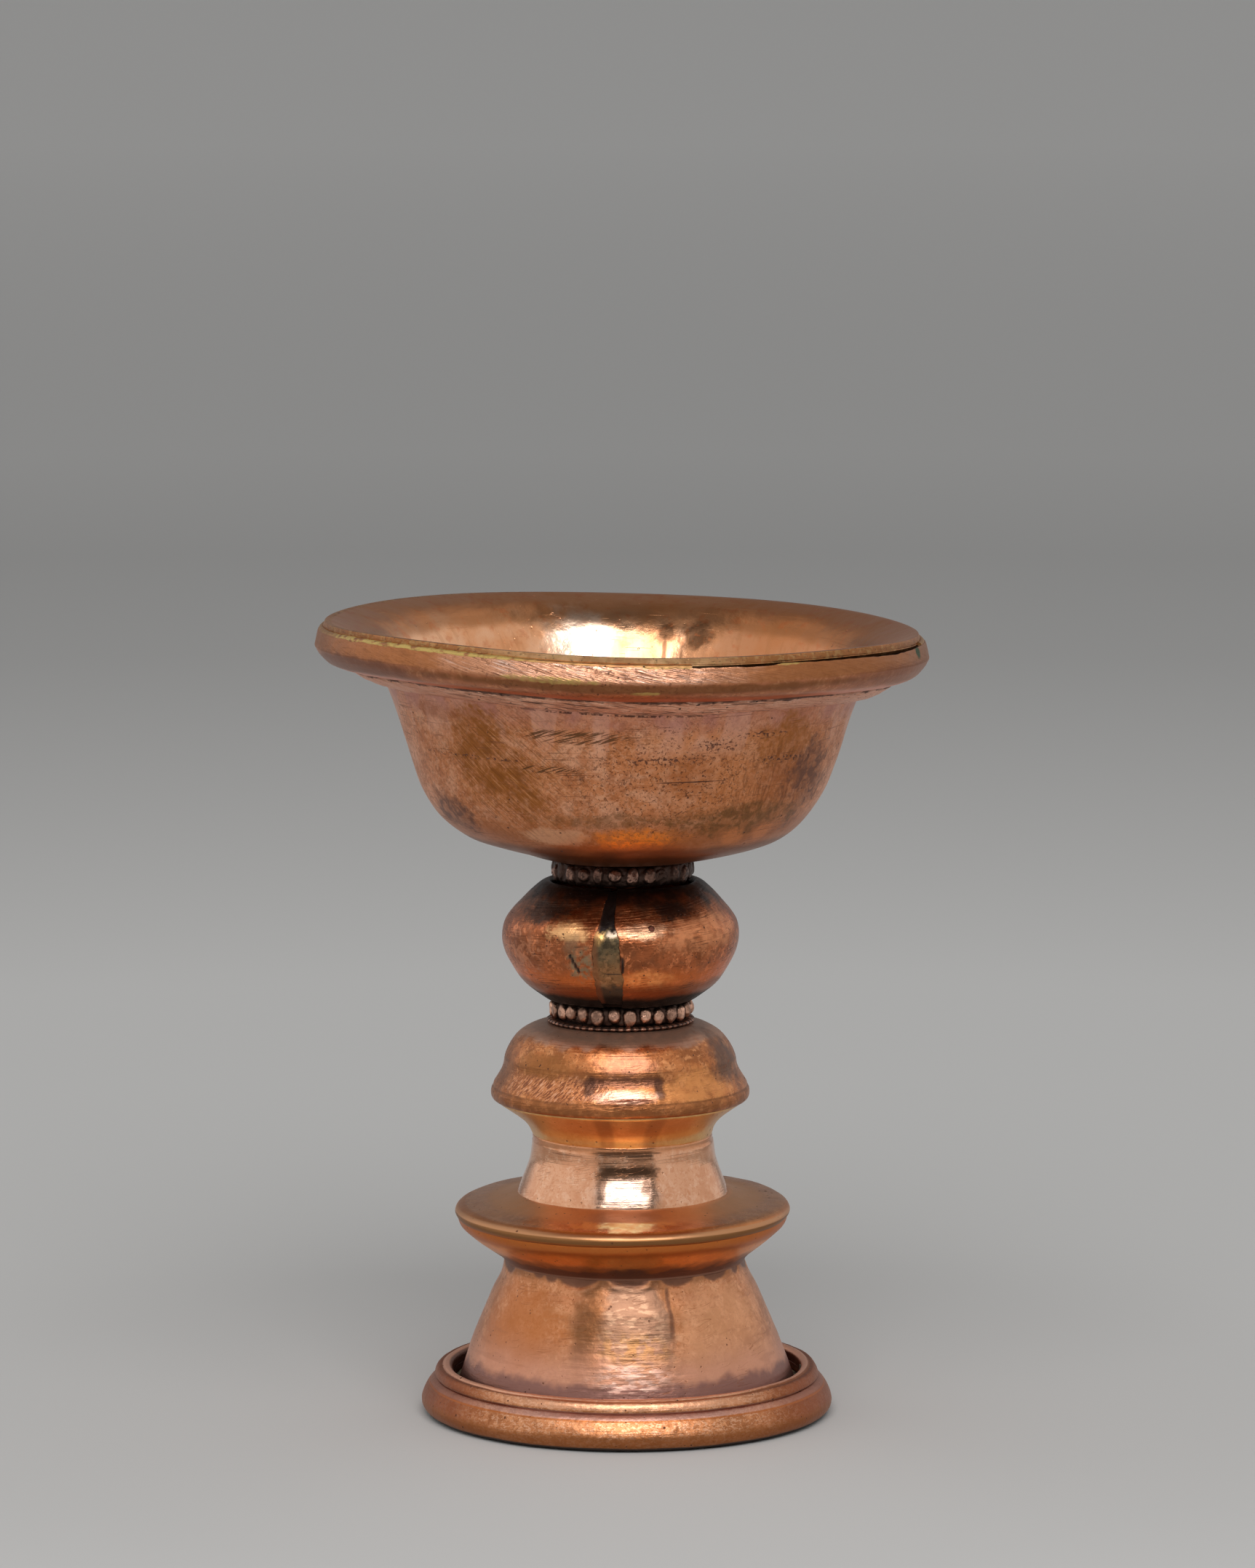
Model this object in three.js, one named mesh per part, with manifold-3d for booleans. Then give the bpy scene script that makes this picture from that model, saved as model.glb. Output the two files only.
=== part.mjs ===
// Butter lamp of raised copper sheet, brazed end to end. Millimetres, +Z up.
// The origin is on the table, in the middle of the foot ring. The front is -Y, with +X to its right.
// Outlines are lists of [radius, height], and the outer side of a piece always runs upwards.

import * as THREE from 'three';
import { mergeVertices } from 'three/addons/utils/BufferGeometryUtils.js';
import Module from 'manifold-3d';

const wasm = await Module();
wasm.setup();

// Stock and fit
const SIDES = 40; // flats round each turned piece
const SOCKET_SIDES = 24; // flats round the small wick socket
const SHEET = 0.7; // copper sheet
const FIT = 0.05; // room between nested pieces
const SEAM_GAP = 0.3; // room on each side of the filler in the knop's seam

// Heights of the joints above the table
const CONE_FOOT = 0.5;
const RING_TOP = 3.2;
const NECK = 13.4;
const DISC_SEAM = 17.0;
const DISC_TOP = 19.2;
const WAIST_TOP = 24.2;
const SHOULDER_SEAM = 27.2;
const SHOULDER_TOP = 34.0;
const KNOP_FOOT = 36.0;
const KNOP_TOP = 46.3;
const BOWL_FOOT = 48.2;
const LIP = 68.3;

// Radii that neighbours share
const RING_BORE = 15.2;
const NECK_RADIUS = 10.3;
const DISC_SEAM_RADIUS = 14.25;
const WAIST_FOOT_RADIUS = 8.9;
const WAIST_TOP_RADIUS = 7.68;
const SHOULDER_SEAM_RADIUS = 10.7;
const SLEEVE_BORE = 4.9;
const SLEEVE_RADIUS = 5.55;
const BEAD_CREST = 6.3;
const BEAD_COUNT = 27;
const RIDGE_RADIUS = 26.2;
const WICK_HOLE = 2.0;

// Where the strip under the rim meets the bowl's wall, and where it meets the band
const STRIP_FOOT = [20.2, 62.75];
const STRIP_EDGE = [22.9, 64.05];

// Angles seen from above, in degrees from +X, counter-clockwise
const FRONT = 270;
const KNOP_SEAM_ANGLE = FRONT - 8;
const CRACK_START = FRONT + 20;
const CRACK_END = FRONT + 80;

const radians = THREE.MathUtils.degToRad;

// A smooth outline through a few measured points, with the same number of steps between each two
function through(points, steps = 1) {
  const knots = points.map(([radius, height]) => new THREE.Vector2(radius, height));
  return new THREE.SplineCurve(knots).getPoints(steps * (knots.length - 1));
}

// Straight lines between the points
function corners(points) {
  return points.map(([radius, height]) => new THREE.Vector2(radius, height));
}

// Part of an ellipse round a centre, from one angle to another in degrees
function arc(centre, halfWidth, halfHeight, from, to, steps) {
  const ellipse = new THREE.EllipseCurve(
    centre[0], centre[1], halfWidth, halfHeight, radians(from), radians(to),
  );
  return ellipse.getPoints(steps);
}

// The direction of an outline at one of its points
function heading(outline, i) {
  const before = outline[Math.max(i - 1, 0)];
  const after = outline[Math.min(i + 1, outline.length - 1)];
  return after.clone().sub(before).normalize();
}

// The same outline moved to its left, which is inwards on a side that runs upwards
function beside(outline, distance) {
  return outline.map((point, i) => {
    const along = heading(outline, i);
    return point.clone().add(new THREE.Vector2(-along.y, along.x).multiplyScalar(distance));
  });
}

// A wall of even thickness inside an outer outline, cut level at both ends
function wall(outer, thickness = SHEET) {
  const inner = beside(outer, thickness);
  for (const end of [0, outer.length - 1]) {
    const along = heading(outer, end);
    inner[end].addScaledVector(along, (outer[end].y - inner[end].y) / along.y);
  }
  return [...outer, ...inner.reverse()];
}

// A closed outline turned round the lamp's axis
function turn(outline, sides = SIDES) {
  const onAxis = outline[0].x === 0;
  const points = onAxis ? outline : [...outline, outline[0]];
  return new THREE.LatheGeometry(points, sides).rotateX(Math.PI / 2);
}

function toSolid(geometry) {
  const bare = geometry.clone();
  bare.deleteAttribute('normal');
  bare.deleteAttribute('uv');
  const merged = mergeVertices(bare);
  return new wasm.Manifold(new wasm.Mesh({
    numProp: 3,
    vertProperties: new Float32Array(merged.attributes.position.array),
    triVerts: new Uint32Array(merged.index.array),
  }));
}

function toGeometry(solid) {
  const mesh = solid.getMesh();
  const geometry = new THREE.BufferGeometry();
  geometry.setAttribute('position', new THREE.BufferAttribute(mesh.vertProperties, 3));
  geometry.setIndex(new THREE.BufferAttribute(mesh.triVerts, 1));
  geometry.computeVertexNormals();
  return geometry;
}

// An upright slab that stands out from the axis in one direction
function slab(width, from, to, bottom, top, angle) {
  return new THREE.BoxGeometry(to - from, width, top - bottom)
    .translate((from + to) / 2, 0, (bottom + top) / 2)
    .rotateZ(radians(angle));
}

// An upright wedge with its edge on the axis, wider than the lamp
function wedge(start, end, bottom, top) {
  const reach = 2 * RIDGE_RADIUS;
  const middle = (start + end) / 2;
  const fan = [start, middle, end].map((angle) => new THREE.Vector2(
    reach * Math.cos(radians(angle)), reach * Math.sin(radians(angle)),
  ));
  const shape = new THREE.Shape([new THREE.Vector2(0, 0), ...fan]);
  return new THREE.ExtrudeGeometry(shape, { depth: top - bottom, bevelEnabled: false })
    .translate(0, 0, bottom);
}

// A flat-backed wire whose outer side swells into a row of beads
function beadedWire(bottom, top) {
  const back = SLEEVE_RADIUS + FIT;
  const root = back + 0.25;
  const swells = [0, 0.8, 1, 0.8];
  const turns = BEAD_COUNT * swells.length;
  const rise = top - bottom;
  const positions = [];
  for (let i = 0; i < turns; i += 1) {
    const crest = root + (BEAD_CREST - root) * swells[i % swells.length];
    const shoulder = (root + crest) / 2;
    const angle = 2 * Math.PI * i / turns;
    const section = [
      [back, bottom], [shoulder, bottom + 0.1 * rise], [crest, bottom + 0.35 * rise],
      [crest, bottom + 0.65 * rise], [shoulder, top - 0.1 * rise], [back, top],
    ];
    for (const [radius, height] of section) {
      positions.push(radius * Math.cos(angle), radius * Math.sin(angle), height);
    }
  }
  const around = positions.length / 3 / turns;
  const faces = [];
  for (let i = 0; i < turns; i += 1) {
    for (let j = 0; j < around; j += 1) {
      const next = (j + 1) % around;
      const here = i * around;
      const there = ((i + 1) % turns) * around;
      faces.push(here + j, there + j, here + next);
      faces.push(here + next, there + j, there + next);
    }
  }
  const geometry = new THREE.BufferGeometry();
  geometry.setAttribute('position', new THREE.Float32BufferAttribute(positions, 3));
  geometry.setIndex(faces);
  geometry.computeVertexNormals();
  return geometry;
}

function footRing() {
  const side = through([
    [16.5, 0], [17.25, 0.3], [17.62, 0.75], [17.68, 1.15], [17.5, 1.75], [17.15, 2.25],
    [16.85, 2.75], [16.46, RING_TOP],
  ]);
  return turn([...side, ...corners([[RING_BORE, RING_TOP], [RING_BORE, 0]])]);
}

function footBead() {
  const halfWidth = 0.7;
  const halfHeight = 0.65;
  const flat = 40; // degrees below the middle where the wire is flattened on the ring
  const middle = RING_TOP + halfHeight * Math.sin(radians(flat));
  return turn(arc([15.7, middle], halfWidth, halfHeight, -flat, 180 + flat, 8));
}

function footCone() {
  const outer = through([
    [RING_BORE - 2 * FIT, CONE_FOOT], [14.95, 1.4], [14.25, 3.4], [13.17, 6.5], [12.15, 9],
    [11.3, 11], [10.75, 12], [10.38, 12.9], [NECK_RADIUS, NECK],
  ]);
  return turn(wall(outer));
}

// Filler in the channel between cone and ring
function footBraze() {
  return turn(corners([
    [14.98, 1.5], [RING_BORE - FIT, 1.5], [RING_BORE - FIT, 2.5], [14.72, 2.3],
  ]));
}

function discUnderside() {
  const outer = through([
    [NECK_RADIUS, NECK], [10.75, 13.86], [12.6, 15.13], [14.06, 16.4],
    [DISC_SEAM_RADIUS, DISC_SEAM],
  ]);
  const inner = corners([[13.4, DISC_SEAM], [12.1, 15.65], [9.5, 13.9], [9.5, NECK]]);
  return turn([...outer, ...inner]);
}

function discTopPlate() {
  const outer = through([
    [DISC_SEAM_RADIUS, DISC_SEAM], [14.47, 17.3], [14.38, 17.62], [14, 17.9], [11.5, 18.62],
    [9.4, 19.1], [WAIST_FOOT_RADIUS, DISC_TOP],
  ]);
  const inner = corners([[8.1, DISC_TOP], [8.1, 18.6], [11.4, 17.95], [13.4, 17.3], [13.4, DISC_SEAM]]);
  return turn([...outer, ...inner]);
}

function waistSleeve() {
  const outer = through([
    [WAIST_FOOT_RADIUS, DISC_TOP], [8.6, 20.6], [8.2, 21.5], [7.85, 22.7],
    [WAIST_TOP_RADIUS, WAIST_TOP],
  ]);
  return turn(wall(outer));
}

function shoulderUnderside() {
  const outer = through([
    [WAIST_TOP_RADIUS, WAIST_TOP], [8.2, 25.3], [8.85, 25.9], [9.8, 26.6],
    [SHOULDER_SEAM_RADIUS, SHOULDER_SEAM],
  ]);
  return turn(wall(outer));
}

function shoulderDome() {
  const band = corners([[SHOULDER_SEAM_RADIUS, SHOULDER_SEAM], [11.05, 27.5]]);
  const dome = through([
    [11.07, 28.1], [10.75, 29], [10.3, 29.6], [10, 30.3], [9.85, 31], [9.63, 31.65],
    [9.25, 32.3], [8.75, 32.9], [7.8, 33.5], [6.6, SHOULDER_TOP],
  ]);
  const inner = corners([
    [SLEEVE_BORE, SHOULDER_TOP], [SLEEVE_BORE, 33.3], [6.8, 33.2], [8.2, 32.3], [8.9, 31.1],
    [9.3, 29.9], [10, 28.6], [9.8, SHOULDER_SEAM],
  ]);
  return turn([...band, ...dome, ...inner]);
}

function collarSleeve(bottom, top) {
  return turn(corners([
    [SLEEVE_RADIUS, bottom], [SLEEVE_RADIUS, top], [SLEEVE_BORE, top], [SLEEVE_BORE, bottom],
  ]));
}

// Fine wire laid round the sleeve, on top of the dome
function milledWire() {
  const back = SLEEVE_RADIUS + FIT;
  return turn(corners([
    [back, SHOULDER_TOP], [6.45, SHOULDER_TOP], [6.55, 34.2], [6.4, 34.4], [back, 34.4],
  ]));
}

// The knop is a ring cut through at its seam, and its filler is a strip of the same ring
function knopAndSeam() {
  const outer = through([
    [6.3, KNOP_FOOT], [7, 36.5], [8.25, 37.5], [9.3, 39], [9.93, 40.3], [10.13, 41.5],
    [9.93, 42.7], [9.4, 43.65], [8.6, 44.55], [7.6, 45.5], [6.6, KNOP_TOP],
  ]);
  const ring = toSolid(turn(wall(outer)));
  const fillerWidth = 0.9;
  const slotWidth = fillerWidth + 2 * SEAM_GAP;
  const nearEnd = 2; // inside the ring's hollow
  const farEnd = 12; // beyond the ring
  const strip = (width) => toSolid(
    slab(width, nearEnd, farEnd, KNOP_FOOT - 1, KNOP_TOP + 1, KNOP_SEAM_ANGLE),
  );
  return {
    knop: toGeometry(ring.subtract(strip(slotWidth))),
    filler: toGeometry(ring.intersect(strip(fillerWidth))),
  };
}

// Outer side of the bowl where it turns out into the lip
const FLARE = [
  [19.25, 60.6], [19.75, 62], [20.15, 63], [20.6, 63.9], [21.3, 65], [22.2, 66], [23.2, 66.75],
  [24.4, 67.3], [25.55, 67.7],
];

function bowl() {
  const outer = [
    ...corners([[WICK_HOLE, BOWL_FOOT]]),
    ...through([
      [6.2, BOWL_FOOT], [9.9, 48.85], [12, 49.45], [13.6, 50.1], [14.8, 50.95], [15.75, 52],
      [16.6, 53.2], [17.3, 54.5], [17.9, 56.2], [18.5, 58.1], ...FLARE,
    ]),
  ];
  const inner = beside(outer, SHEET);
  inner[0].x = WICK_HOLE;
  const lip = inner.pop();
  lip.y = LIP;
  return turn([...outer, lip, ...inner.reverse()]);
}

// Solid band under the lip, with a rounded bevel below its ridge and a flat one above
function rimBand() {
  const [edgeRadius, edgeHeight] = STRIP_EDGE;
  const outer = corners([
    [edgeRadius + FIT, edgeHeight + FIT / 2], [25.3, 64.85], [RIDGE_RADIUS, 66.2], [25.8, 67.38],
  ]);
  const top = corners([[25.3, 67.3]]);
  const underLip = beside(corners(FLARE), -FIT).slice(3, -1);
  const overStrip = corners([[22.7, 64.58]]);
  return turn([...outer, ...top, ...underLip.reverse(), ...overStrip]);
}

// Flat strip from the bowl's wall out to the band
function rimUnderwire() {
  return turn(corners([STRIP_FOOT, STRIP_EDGE, [22.67, 64.5], [20.44, 63.36]]));
}

// Filler between lip and band, all the way round but for the open crack
function rimBraze() {
  const bead = toSolid(turn(corners([[25.35, 67.4], [25.74, 67.46], [25.66, 67.66], [25.35, 67.56]])));
  const crack = toSolid(wedge(CRACK_START, CRACK_END, BOWL_FOOT, LIP));
  return toGeometry(bead.subtract(crack));
}

// Blind tube through the bowl's floor, hung from its flange
function wickSocket() {
  const tip = 45.6;
  const bottom = 0.6; // thickness of the blind end
  const outside = WICK_HOLE - 0.1;
  const bore = 1.3;
  const floor = BOWL_FOOT + SHEET;
  const flangeTop = floor + 0.5;
  return turn(corners([
    [0, tip], [outside, tip], [outside, floor], [3.2, floor], [3.1, flangeTop], [bore, flangeTop],
    [bore, tip + bottom], [0, tip + bottom],
  ]), SOCKET_SIDES);
}

// Finishes of the copper and its fillers
const SALMON = { color: 0xc98562, roughness: 0.38 };
const RED = { color: 0xb5603a, roughness: 0.3 };
const GOLD = { color: 0xd59a6c, roughness: 0.25 };
const BROWN = { color: 0x9a5632, roughness: 0.35 };
const DARK = { color: 0x4a3630, roughness: 0.5 };
const BRASS = { color: 0xc2a45a, roughness: 0.4 };
const SOLDER = { color: 0x6f7263, roughness: 0.6 };

function piece(name, geometry, finish) {
  const mesh = new THREE.Mesh(geometry, new THREE.MeshStandardMaterial({ ...finish, metalness: 1 }));
  mesh.name = name;
  return mesh;
}

const foot = new THREE.Group();
foot.add(
  piece('foot_ring', footRing(), RED),
  piece('foot_bead', footBead(), RED),
  piece('foot_braze', footBraze(), SOLDER),
  piece('foot_cone', footCone(), GOLD),
);

const { knop, filler } = knopAndSeam();
const stem = new THREE.Group();
stem.add(
  piece('disc_underside', discUnderside(), BROWN),
  piece('disc_top_plate', discTopPlate(), BROWN),
  piece('waist_sleeve', waistSleeve(), GOLD),
  piece('shoulder_underside', shoulderUnderside(), RED),
  piece('shoulder_dome', shoulderDome(), BROWN),
  piece('lower_collar_sleeve', collarSleeve(SHOULDER_TOP, KNOP_FOOT), DARK),
  piece('lower_milled_wire', milledWire(), DARK),
  piece('lower_beaded_wire', beadedWire(34.45, 35.95), SALMON),
  piece('knop', knop, RED),
  piece('knop_seam_braze', filler, BRASS),
  piece('upper_collar_sleeve', collarSleeve(KNOP_TOP, BOWL_FOOT), DARK),
  piece('upper_beaded_wire', beadedWire(46.4, 48.1), DARK),
);

const top = new THREE.Group();
top.add(
  piece('bowl', bowl(), SALMON),
  piece('rim_band', rimBand(), SALMON),
  piece('rim_underwire', rimUnderwire(), RED),
  piece('rim_braze', rimBraze(), BRASS),
  piece('wick_socket', wickSocket(), BROWN),
);

const butterLamp = new THREE.Group();
butterLamp.add(foot, stem, top);

export default butterLamp;
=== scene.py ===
# A small copper butter lamp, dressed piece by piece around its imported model.
# While a piece is worked out, lengths are in millimetres. Blender gets metres.
# Angles go round the stem: 0 is the front (-Y), and positive is towards the right (+X).
import math

import bpy
import numpy as np
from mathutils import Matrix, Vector, noise


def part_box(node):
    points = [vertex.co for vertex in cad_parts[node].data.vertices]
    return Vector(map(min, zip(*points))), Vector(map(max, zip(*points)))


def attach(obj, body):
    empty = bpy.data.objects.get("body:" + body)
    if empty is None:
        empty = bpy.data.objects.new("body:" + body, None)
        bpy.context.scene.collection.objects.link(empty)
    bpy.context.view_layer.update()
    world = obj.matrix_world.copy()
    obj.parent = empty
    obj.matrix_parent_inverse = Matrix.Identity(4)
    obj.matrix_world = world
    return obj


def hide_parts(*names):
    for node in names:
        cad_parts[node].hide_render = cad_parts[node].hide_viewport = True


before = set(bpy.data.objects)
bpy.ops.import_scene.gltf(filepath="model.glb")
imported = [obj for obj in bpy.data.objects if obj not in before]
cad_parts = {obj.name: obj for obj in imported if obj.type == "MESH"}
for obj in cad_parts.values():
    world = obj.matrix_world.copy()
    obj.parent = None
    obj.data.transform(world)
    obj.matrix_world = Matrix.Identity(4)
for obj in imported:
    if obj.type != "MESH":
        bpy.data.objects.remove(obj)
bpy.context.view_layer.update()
mm = 0.001
print("frame loaded:", len(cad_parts), "nodes")


def heights(node):
    # the lowest and highest level of a node, in mm
    low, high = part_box(node)
    return low.z / mm, high.z / mm


coneFoot, coneTop = heights("foot_cone")
ringTop = heights("foot_ring")[1]
discSeam, discTop = heights("disc_top_plate")
waistTop = heights("waist_sleeve")[1]
shoulderSeam, shoulderTop = heights("shoulder_dome")
knopFoot, knopTop = heights("knop")
bowlFoot, lipTop = heights("bowl")


# Shader nodes


def tone(red, green, blue):
    # a colour given as the 0 to 255 values seen on a screen
    seen = [c / 255 for c in (red, green, blue)]
    return tuple(c / 12.92 if c < 0.04 else ((c + 0.055) / 1.055) ** 2.4 for c in seen) + (1.0,)


class Value:
    # one socket of a node tree that can be used in sums

    def __init__(self, nodes, socket):
        self.nodes = nodes
        self.socket = socket

    def __add__(self, other):
        return self.nodes.maths("ADD", self, other)

    def __mul__(self, other):
        return self.nodes.maths("MULTIPLY", self, other)

    __radd__ = __add__
    __rmul__ = __mul__

    def __sub__(self, other):
        return self.nodes.maths("SUBTRACT", self, other)

    def __rsub__(self, other):
        return self.nodes.maths("SUBTRACT", other, self)

    def __truediv__(self, other):
        return self.nodes.maths("DIVIDE", self, other)

    def __pow__(self, other):
        return self.nodes.maths("POWER", self, other)

    def __abs__(self):
        return self.nodes.maths("ABSOLUTE", self)


class Nodes:
    # a node tree that is written as sums and masks

    def __init__(self, tree):
        self.tree = tree
        tree.nodes.clear()

    def node(self, kind, settings=None, values=None, out=0):
        # any node: first its settings, then what its sockets hold or are linked to
        made = self.tree.nodes.new(kind)
        for name, value in (settings or {}).items():
            if name == "stops":
                self.setStops(made.color_ramp, value)
            else:
                setattr(made, name, value)
        for name, value in (values or {}).items():
            if isinstance(value, Value):
                self.tree.links.new(value.socket, made.inputs[name])
            else:
                made.inputs[name].default_value = value
        return Value(self, made.outputs[out]) if made.outputs else made

    def setStops(self, ramp, stops):
        while len(ramp.elements) < len(stops):
            ramp.elements.new(1.0)
        for element, (place, colour) in zip(ramp.elements, stops):
            element.position = place
            element.color = colour

    def maths(self, operation, *terms):
        return self.node("ShaderNodeMath", {"operation": operation}, dict(enumerate(terms)))

    def vector(self, operation, *terms):
        return self.node("ShaderNodeVectorMath", {"operation": operation}, dict(enumerate(terms)))

    def join(self, x, y, z):
        return self.node("ShaderNodeCombineXYZ", None, {0: x, 1: y, 2: z})

    def part(self, vector, axis):
        return self.node("ShaderNodeSeparateXYZ", None, {0: vector}, out=axis)

    def ease(self, value, low, high):
        # 0 at low and 1 at high, with soft ends; low may be the larger
        sockets = {"Value": value, "From Min": low, "From Max": high}
        return self.node("ShaderNodeMapRange", {"interpolation_type": "SMOOTHSTEP"}, sockets)

    def mixed(self, share, under, over):
        return self.node("ShaderNodeMix", {"data_type": "RGBA"}, {0: share, 6: under, 7: over}, out=2)


class Skin(Nodes):
    # the finish of one piece: bare metal with coats of colour, gloss and relief over it

    def __init__(self, name, colour, rough, metal=1.0):
        self.material = bpy.data.materials.new(name)
        self.material.use_nodes = True
        super().__init__(self.material.node_tree)
        self.colour = tone(*colour)
        self.rough = rough
        self.metal = metal
        self.relief = 0.0
        where = self.node("ShaderNodeTexCoord", out="Object")
        self.place = self.vector("MULTIPLY", where, (1 / mm,) * 3)
        x = self.part(self.place, 0)
        y = self.part(self.place, 1)
        self.height = self.part(self.place, 2)
        self.reach = (x * x + y * y) ** 0.5
        self.around = self.maths("ARCTAN2", x, 0 - y) * (180 / math.pi)

    def mark(self, name):
        # a mark that the mesh carries: side, level in mm, or one from 0 to 1
        return self.node("ShaderNodeAttribute", {"attribute_name": name}, out="Fac")

    def grain(self, size, seed, stretch=(1, 1, 1), detail=3.0, place=None, swirl=0.0):
        # cloudy noise about 0.5; size is in mm, and each seed takes its own slice of the noise
        spot = self.vector("MULTIPLY", place or self.place, stretch)
        sockets = {"Vector": spot, "W": seed * 3.7, "Scale": 1 / size, "Detail": detail,
                   "Distortion": swirl}
        return self.node("ShaderNodeTexNoise", {"noise_dimensions": "4D"}, sockets)

    def cloud(self, size, seed, low=0.45, high=0.6, stretch=(1, 1, 1), detail=3.0, swirl=0.0):
        return self.ease(self.grain(size, seed, stretch, detail, swirl=swirl), low, high)

    def patch(self, at, size, seed, soft=0.35, rag=0.5, grain=1.5, slant=0.0):
        # a blot with a ragged edge; at and size are degrees round and mm up, and slant
        # leans it by that many degrees for each mm up
        up = self.height - at[1]
        along = (self.around - at[0] - up * slant) / size[0]
        away = (along * along + (up / size[1]) ** 2.0) ** 0.5
        away = away + (self.grain(grain, seed) - 0.5) * (2 * rag)
        return self.ease(away, 1 + soft, 1 - soft)

    def stain(self, at, size, seed):
        # a soft blot whose edge breaks up into small marks
        blot = self.patch(at, size, seed, 0.8, 0.9, 2.4)
        marks = self.grain(0.5, seed + 0.4, detail=5, swirl=1.0)
        return self.ease(blot + (marks - 0.5) * 1.3, 0.15, 0.85)

    def above(self, level, seed, soft=0.3, rag=1.0, grain=2.0):
        # 1 above a level, with a ragged edge that wanders by rag mm
        edge = self.height + (self.grain(grain, seed) - 0.5) * (2 * rag)
        return self.ease(edge, level - soft, level + soft)

    def below(self, level, seed, soft=0.3, rag=1.0, grain=2.0):
        return 1 - self.above(level, seed, soft, rag, grain)

    def slanted(self, radius, tilt, long, fine):
        # a flat map of the wall, stretched along lines that climb at tilt degrees
        arc = self.around * (radius * math.pi / 180)
        run = math.cos(math.radians(tilt))
        climb = math.sin(math.radians(tilt))
        along = (arc * run + self.height * climb) / long
        across = (self.height * run - arc * climb) / fine
        return self.join(along, across, 0.0)

    def strokes(self, radius, tilt, long, fine, seed, detail=2.0):
        # the grooves that a file or an abrasive leaves, about 0.5
        return self.grain(1.0, seed, detail=detail, place=self.slanted(radius, tilt, long, fine))

    def hairs(self, radius, tilt, long, fine, seed, width):
        # thin single scratches
        return self.ease(abs(self.strokes(radius, tilt, long, fine, seed, 1.0) - 0.5), width, width / 4)

    def pits(self, size, seed, reach=0.2):
        # small round holes, one in some of the cells of that size
        spot = self.vector("ADD", self.place, (seed * 5.1, seed * 3.3, seed * 4.7))
        away = self.node("ShaderNodeTexVoronoi", None, {"Vector": spot, "Scale": 1 / size})
        room = self.ease(self.grain(size * 1.7, seed + 0.5), 0.45, 0.7) * reach
        return self.ease(away - room, 0.05, -0.05)

    def coat(self, mask, colour=None, rough=None, metal=None, depth=None):
        # lays a coat where the mask is 1; a colour is 0 to 255, and depth raises it, in mm
        if colour is not None:
            self.colour = self.mixed(mask, self.colour, tone(*colour))
        if rough is not None:
            self.rough = self.rough + mask * (rough - self.rough)
        if metal is not None:
            self.metal = self.metal + mask * (metal - self.metal)
        if depth is not None:
            self.relief = self.relief + mask * depth

    def worn(self, light, dark, seed, share, wavy):
        # the mottle of old metal: broad shades, flecks, and a face that isn't quite smooth
        self.coat(self.cloud(2.2, seed, 0.42, 0.62, detail=8, swirl=0.5) * share, dark)
        self.coat(self.cloud(0.8, seed + 0.3, 0.5, 0.64, detail=6, swirl=1.2) * share, light)
        self.coat(self.cloud(0.3, seed + 0.6, 0.52, 0.64, detail=2, swirl=1.0) * share, dark)
        self.coat(self.grain(1.2, seed + 0.8, detail=5), depth=wavy)

    def done(self):
        sockets = {"Base Color": self.colour, "Roughness": self.rough, "Metallic": self.metal}
        if isinstance(self.relief, Value):
            bump = {"Height": self.relief, "Distance": mm, "Strength": 1.0}
            sockets["Normal"] = self.node("ShaderNodeBump", None, bump)
        shader = self.node("ShaderNodeBsdfPrincipled", None, sockets)
        self.node("ShaderNodeOutputMaterial", None, {"Surface": shader})
        return self.material


# Meshes that are turned round the stem


def evenly(points, step):
    # the same line with its points at even distances
    gaps = np.linalg.norm(np.diff(points, axis=0), axis=1)
    run = np.concatenate([[0], np.cumsum(gaps)])
    count = max(2, round(run[-1] / step) + 1)
    spots = np.linspace(0, run[-1], count)
    return np.column_stack([np.interp(spots, run, points[:, 0]), np.interp(spots, run, points[:, 1])])


fineStep = 0.17     # mm between the points of an outline, on most pieces; other steps are in mm too
curveSteps = 16     # points worked out between two knots of a curve
sharpEdge = 55      # degrees between two faces from which their edge shows sharp


def smoothLine(knots, step):
    # a smooth curve through the knots
    p = np.array(knots, float)
    if len(p) == 2:
        return evenly(p, step)
    gap = np.linalg.norm(np.diff(p, axis=0), axis=1)[:, None]
    slope = np.diff(p, axis=0) / gap
    within = (slope[:-1] * gap[1:] + slope[1:] * gap[:-1]) / (gap[:-1] + gap[1:])
    way = np.vstack([slope[:1], within, slope[-1:]])
    u = np.linspace(0, 1, curveSteps, endpoint=False)[:, None]
    pieces = []
    for i in range(len(p) - 1):
        start = (2 * u**3 - 3 * u**2 + 1) * p[i] + (u**3 - 2 * u**2 + u) * gap[i] * way[i]
        finish = (3 * u**2 - 2 * u**3) * p[i + 1] + (u**3 - u**2) * gap[i] * way[i + 1]
        pieces.append(start + finish)
    return evenly(np.vstack(pieces + [p[-1:]]), step)


def sheetOf(knots, thick, step):
    # the two faces of a wall: its outer line, then its inner line on the way back
    outer = smoothLine(knots, step)
    way = np.gradient(outer, axis=0)
    way /= np.linalg.norm(way, axis=1)[:, None]
    inner = outer + np.column_stack([-way[:, 1], way[:, 0]]) * thick
    inner[:, 1] = np.clip(inner[:, 1], outer[:, 1].min(), outer[:, 1].max() + thick)
    return [(0, outer), (1, inner[::-1])]


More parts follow.
